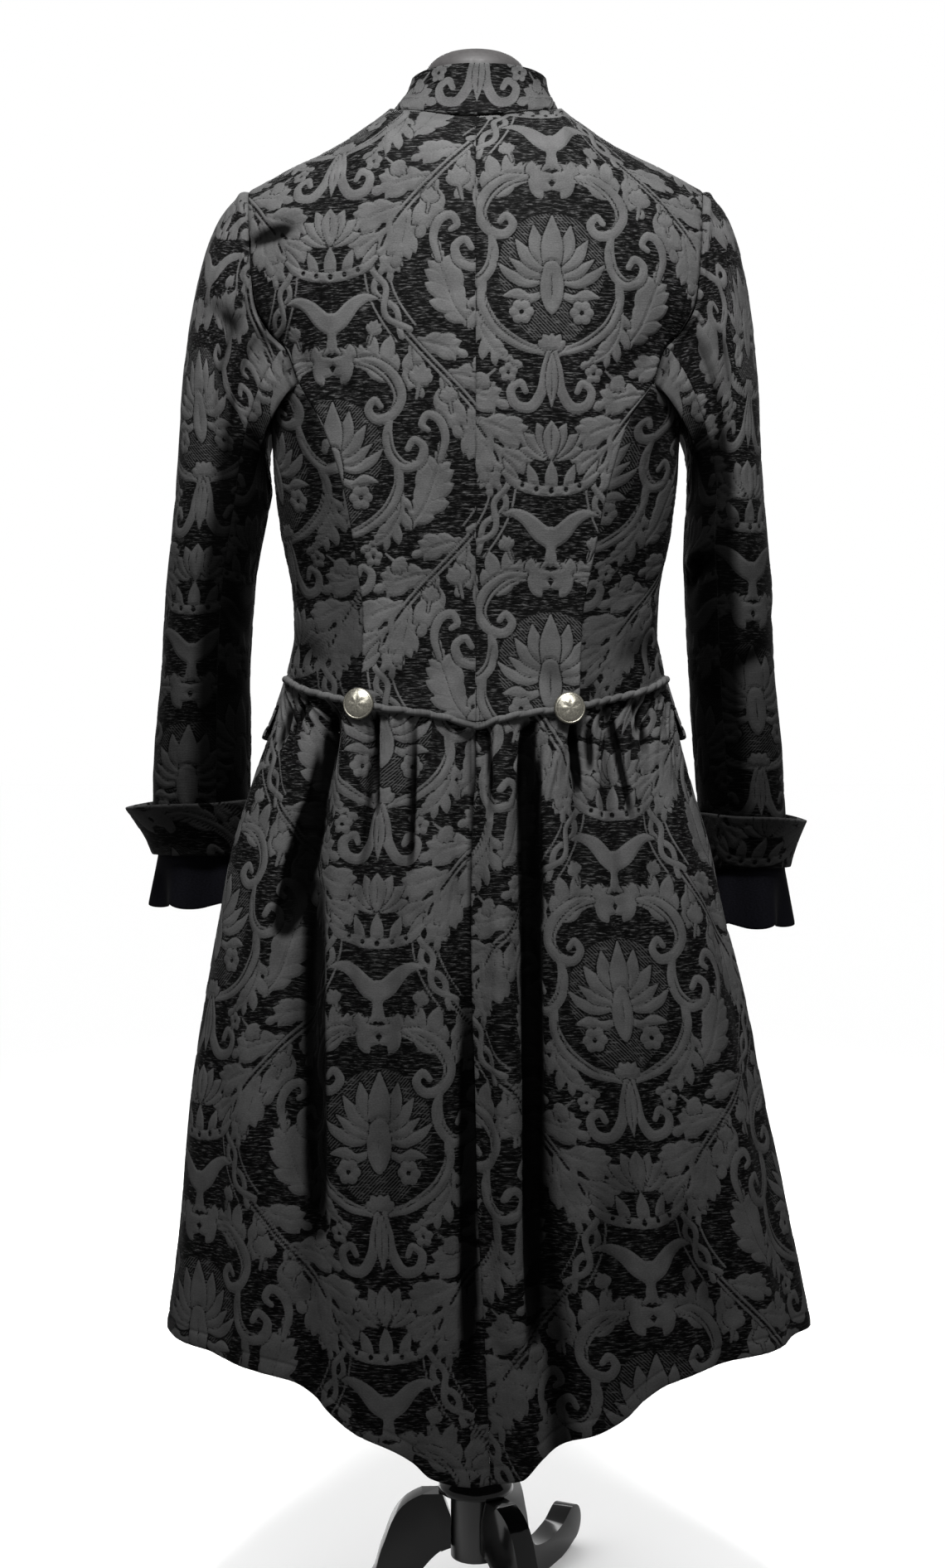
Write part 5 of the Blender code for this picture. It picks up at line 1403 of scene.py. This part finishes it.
def make_leg(index, azimuth):
    """One board leg, its edges rounded, with a flat foot on the floor."""
    bm = bmesh.new()
    face = bm.faces.new([bm.verts.new((0, -reach, height)) for reach, height in leg_outline()])
    far = bmesh.ops.extrude_face_region(bm, geom=[face])["geom"]
    bmesh.ops.translate(bm, vec=(LEG_THICKNESS, 0, 0),
                        verts=[item for item in far if isinstance(item, bmesh.types.BMVert)])
    bmesh.ops.translate(bm, vec=(-LEG_THICKNESS / 2, 0, 0), verts=bm.verts)
    bmesh.ops.recalc_face_normals(bm, faces=bm.faces)
    rims = [edge for edge in bm.edges if len({round(v.co.x, 5) for v in edge.verts}) == 1]
    bmesh.ops.bevel(bm, geom=rims, offset=LEG_BEVEL, offset_type="OFFSET", segments=4, profile=0.5,
                    affect="EDGES", material=-1, clamp_overlap=True)
    cut_flat(bm, (0, 0, 0), (0, 0, -1))
    cut_flat(bm, (0, 0, FLANGE_BASE - STAND_GAP), (0, 0, 1))
    cut_flat(bm, (0, -COLUMN_RADIUS - STAND_GAP, 0), (0, 1, 0))
    turn = Matrix.Rotation(-math.radians(azimuth), 3, "Z")
    bmesh.ops.rotate(bm, cent=(0, 0, 0), matrix=turn, verts=bm.verts)
    bmesh.ops.translate(bm, vec=AXIS.tolist(), verts=bm.verts)
    hard_piece("form_leg_%d" % index, bm, "Gloss black lacquer", "lacquer", 30)


# The studio

CAMERA_DISTANCE = 2.0
CAMERA_HEIGHT = 0.87
IMAGE = (1140, 1892)
SENSOR = 36.0
FOCAL_PIXELS = 2472.0
AXIS_PIXEL = (574.0, 880.0)
LIGHT_SPREAD = 46.0


def colour_property(name, description, hex_colour):
    return FloatVectorProperty(name=name, description=description, default=linear(hex_colour)[:3], size=3,
                               min=0.0, max=1.0, subtype="COLOR")


class CoatSizes(bpy.types.PropertyGroup):
    """Sizes and colours that a user may change before the pieces are made."""

    relief: FloatProperty(name="Relief", description="How far the motifs stand proud of the ground",
                          default=0.00045, min=0.0, max=0.002, unit="LENGTH")
    creases: FloatProperty(name="Creases", description="How strong the creases are, against those shown",
                           default=1.0, min=0.0, max=2.0, subtype="FACTOR")
    motif: colour_property("Motif", "Colour of the raised motifs", "#222222")
    ground: colour_property("Ground", "Colour of the ribbed ground between the motifs", "#060606")
    cotton: colour_property("Frill", "Colour of the thin cotton frills", "#020203")
    metal: colour_property("Buttons", "Colour of the metal buttons", "#5A5851")
    jersey: colour_property("Form", "Colour of the dress form's jersey cover", "#4E4C4A")
    lacquer: colour_property("Stand", "Colour of the stand's lacquer", "#070707")


class CoatStudio(bpy.types.PropertyGroup):
    """The studio's light and floor."""

    floor: colour_property("Floor", "Colour of the floor", "#FFFFFF")
    surround: FloatProperty(name="Surround", description="Brightness of the white surroundings",
                            default=1.0, min=0.0, max=5.0)
    overhead: FloatProperty(name="Overhead light", description="Power of the soft light above the shoulders",
                            default=29.0, min=0.0, max=2000.0, unit="POWER")
    front: FloatProperty(name="Front light", description="Power of the soft light before the coat's front",
                         default=8.0, min=0.0, max=2000.0, unit="POWER")


class COAT_OT_body(bpy.types.Operator):
    """Makes the back, side and front panels of the body"""

    bl_idname = "coat.body"
    bl_label = "Body panels"

    def execute(self, context):
        for column in SIDES:
            cloth("back_" + column, body_panel(column, "back"))
            cloth("side_" + column, side_panel(column))
            cloth("front_" + column, body_panel(column, "front"))
        return {"FINISHED"}


class COAT_OT_collar(bpy.types.Operator):
    """Makes the stand collar"""

    bl_idname = "coat.collar"
    bl_label = "Collar"

    def execute(self, context):
        cloth("collar", collar_shape, zero=0.5)
        return {"FINISHED"}


class COAT_OT_skirt(bpy.types.Operator):
    """Makes the skirt's panels, gathered below the waist, and the pocket flaps over them"""

    bl_idname = "coat.skirt"
    bl_label = "Skirt and flaps"

    def execute(self, context):
        for column in SIDES:
            cloth("skirt_back_" + column, skirt_panel(column, "back"))
            cloth("skirt_front_" + column, skirt_panel(column, "front"))
            cloth("flap_" + column, flap_shape(column))
        return {"FINISHED"}


class COAT_OT_sleeves(bpy.types.Operator):
    """Makes the two-piece sleeves, the turned-back cuffs and the frills below them"""

    bl_idname = "coat.sleeves"
    bl_label = "Sleeves, cuffs and frills"

    def execute(self, context):
        for column, side in SIDES.items():
            middle, end = ((side * SLEEVE.at(column, drop), SLEEVE.at("middle", drop))
                           for drop in SLEEVE_MIDDLES.values())
            upper = sleeve_panel(column, FORE_SEAM - 360, HIND_SEAM)
            cloth("sleeve_upper_" + column, upper, middle, 0.5, CAP_SHARE)
            under = sleeve_panel(column, HIND_SEAM, FORE_SEAM)
            cloth("sleeve_under_" + column, under, middle, 0.0, CAP_SHARE)
            cloth("cuff_" + column, cuff_shape(column), end)
            cloth("frill_" + column, frill_shape(column), end)
        return {"FINISHED"}


class COAT_OT_trim(bpy.types.Operator):
    """Makes the piping along the waist seam, and the buttons"""

    bl_idname = "coat.trim"
    bl_label = "Piping and buttons"

    def execute(self, context):
        left, right = BACK_BUTTON_ANGLE["left"], -BACK_BUTTON_ANGLE["right"]
        clear = math.degrees(BACK_BUTTON[2] / PIPING_ARM)
        for name, first, last in (("piping_back", right + clear, left - clear),
                                  ("piping_left", left + clear, PIPING_END),
                                  ("piping_right", -PIPING_END, right - clear)):
            cloth(name, piping_shape(first, last), None)
        for column, side in SIDES.items():
            angle = np.array(BACK_BUTTON_ANGLE[column])
            at = skirt_point(angle, np.array(0.0), side, SHANK_FOOT[column])
            out = skirt_point(angle, np.array(0.0), side, 0.01) - at
            button("button_back_" + column, at + AXIS, out, *BACK_BUTTON)
        shares = np.linspace(*FRONT_BUTTON_SHARES, len(FRONT_BUTTON_SEATS))
        for i, (share, seat) in enumerate(zip(shares[:, None], FRONT_BUTTON_SEATS), 1):
            angle = 180 - body_angle(-FRONT_BUTTON_X, share)
            at = body_point(angle, share, -1.0)[0]
            beside = body_point(angle - 2, share, -1.0)[0]
            above = body_point(angle, share + 0.01, -1.0)[0]
            normal = np.cross(beside - at, above - at)
            normal *= -np.sign(normal[1]) / np.linalg.norm(normal)
            button("button_front_%d" % i, at + normal * seat + AXIS, normal, *FRONT_BUTTON)
        return {"FINISHED"}


class COAT_OT_form(bpy.types.Operator):
    """Makes the dress form's cap and stand, and gives the form its cover"""

    bl_idname = "coat.form"
    bl_label = "Dress form and stand"

    def execute(self, context):
        axis = AXIS.tolist()
        low, high = FLANGE_BASE, POLE_FOOT - STAND_GAP
        under = low - STAND_GAP
        flange = [(0.0, high), (0.017, high), (0.021, high - 0.003), (0.030, low + 0.012),
                  (0.0355, low + 0.007), (FLANGE_RADIUS, low + 0.004), (FLANGE_RADIUS, low), (0.0, low)]
        turned("form_flange", rounded(flange, 0.002), "Gloss black lacquer", "lacquer", axis)
        column = [(0.0, under), (COLUMN_RADIUS, under), (COLUMN_RADIUS, COLUMN_FOOT), (0.0, COLUMN_FOOT)]
        turned("form_column", rounded(column, 0.002), "Satin black lacquer", "lacquer", axis)
        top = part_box("form_pole")[1].z
        pole = [(0.0, top), (POLE_RADIUS, top), (POLE_RADIUS, POLE_FOOT), (0.0, POLE_FOOT)]
        turned("form_pole", rounded(pole, 0.0005), "Black painted steel", "steel", axis)
        low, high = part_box("form_neck_cap")
        middle = [(low.x + high.x) / 2, (low.y + high.y) / 2, low.z]
        cap = [(r * CAP_RADIUS, z) for r, z in CAP_PROFILE]
        turned("form_neck_cap", rounded(cap, 0.001, 2), "Dark satin cap", "plastic", middle)
        for index, azimuth in enumerate(LEG_AZIMUTHS, 1):
            make_leg(index, azimuth)
        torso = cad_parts["form_torso"]
        torso.data.materials.clear()
        torso.data.materials.append(finish_named("Grey jersey"))
        return {"FINISHED"}


class COAT_OT_studio(bpy.types.Operator):
    """Makes the floor, the lights and the camera"""

    bl_idname = "coat.studio"
    bl_label = "Studio"

    def execute(self, context):
        scene = context.scene
        studio = scene.coat_studio
        bm = bmesh.new()
        bmesh.ops.create_grid(bm, x_segments=1, y_segments=1, size=30.0)
        floor = placed("studio_floor", mesh_from(bm, "studio_floor"))
        floor.data.materials.append(new_material("Pale studio floor", {
            "Roughness": 0.8, "Specular IOR Level": 0.1, "Base Color": [*studio.floor[:3], 1.0]})[0])
        scene.world = bpy.data.worlds.new("Studio")
        scene.world.use_nodes = True
        feed(scene.world.node_tree, scene.world.node_tree.nodes["Background"],
             {"Color": linear("#FFFFFF"), "Strength": studio.surround})
        for label, at, aim, size, power in (
                ("overhead", (0.0, 1.0, 2.35), (0.0, 0.12, 1.32), (0.9, 0.5), studio.overhead),
                ("front", (0.0, -1.6, 1.9), (0.0, 0.0, 1.0), (1.6, 0.8), studio.front)):
            lamp = bpy.data.lights.new(label, "AREA")
            lamp.shape = "RECTANGLE"
            lamp.size, lamp.size_y = size
            lamp.energy = power
            lamp.spread = math.radians(LIGHT_SPREAD)
            item = placed(label, lamp)
            item.location = at
            item.rotation_euler = (Vector(aim) - Vector(at)).to_track_quat("-Z", "Y").to_euler()
        data = bpy.data.cameras.new("camera")
        data.sensor_fit = "VERTICAL"
        data.sensor_height = SENSOR
        data.lens = FOCAL_PIXELS / IMAGE[1] * SENSOR
        data.shift_x = -(AXIS_PIXEL[0] - IMAGE[0] / 2) / IMAGE[1]
        data.shift_y = -(IMAGE[1] / 2 - AXIS_PIXEL[1]) / IMAGE[1]
        scene.camera = placed("camera", data)
        scene.camera.location = (AXIS[0], AXIS[1] + CAMERA_DISTANCE, CAMERA_HEIGHT)
        scene.camera.rotation_euler = (math.radians(90), 0, math.radians(180))
        scene.view_settings.view_transform = "Standard"
        return {"FINISHED"}


class COAT_PT_panel(bpy.types.Panel):
    """Lists the coat's sizes, colours and pieces"""

    bl_label = "Brocade tailcoat"
    bl_idname = "COAT_PT_panel"
    bl_space_type = "VIEW_3D"
    bl_region_type = "UI"
    bl_category = "Tailcoat"

    def draw(self, context):
        layout = self.layout
        for group in (context.scene.coat_sizes, context.scene.coat_studio):
            for name in group.bl_rna.properties.keys():
                if name not in ("rna_type", "name"):
                    layout.prop(group, name)
        for step in STEPS:
            layout.operator(step.bl_idname)


STEPS = (COAT_OT_body, COAT_OT_collar, COAT_OT_skirt, COAT_OT_sleeves, COAT_OT_trim, COAT_OT_form,
         COAT_OT_studio)
CLASSES = (CoatSizes, CoatStudio) + STEPS + (COAT_PT_panel,)


def register():
    for item in CLASSES:
        bpy.utils.register_class(item)
    bpy.types.Scene.coat_sizes = PointerProperty(type=CoatSizes)
    bpy.types.Scene.coat_studio = PointerProperty(type=CoatStudio)


def unregister():
    del bpy.types.Scene.coat_studio
    del bpy.types.Scene.coat_sizes
    for item in reversed(CLASSES):
        bpy.utils.unregister_class(item)


def main():
    register()
    bpy.ops.coat.body()
    bpy.ops.coat.collar()
    bpy.ops.coat.skirt()
    bpy.ops.coat.sleeves()
    bpy.ops.coat.trim()
    bpy.ops.coat.form()
    bpy.ops.coat.studio()


if __name__ == "__main__":
    main()
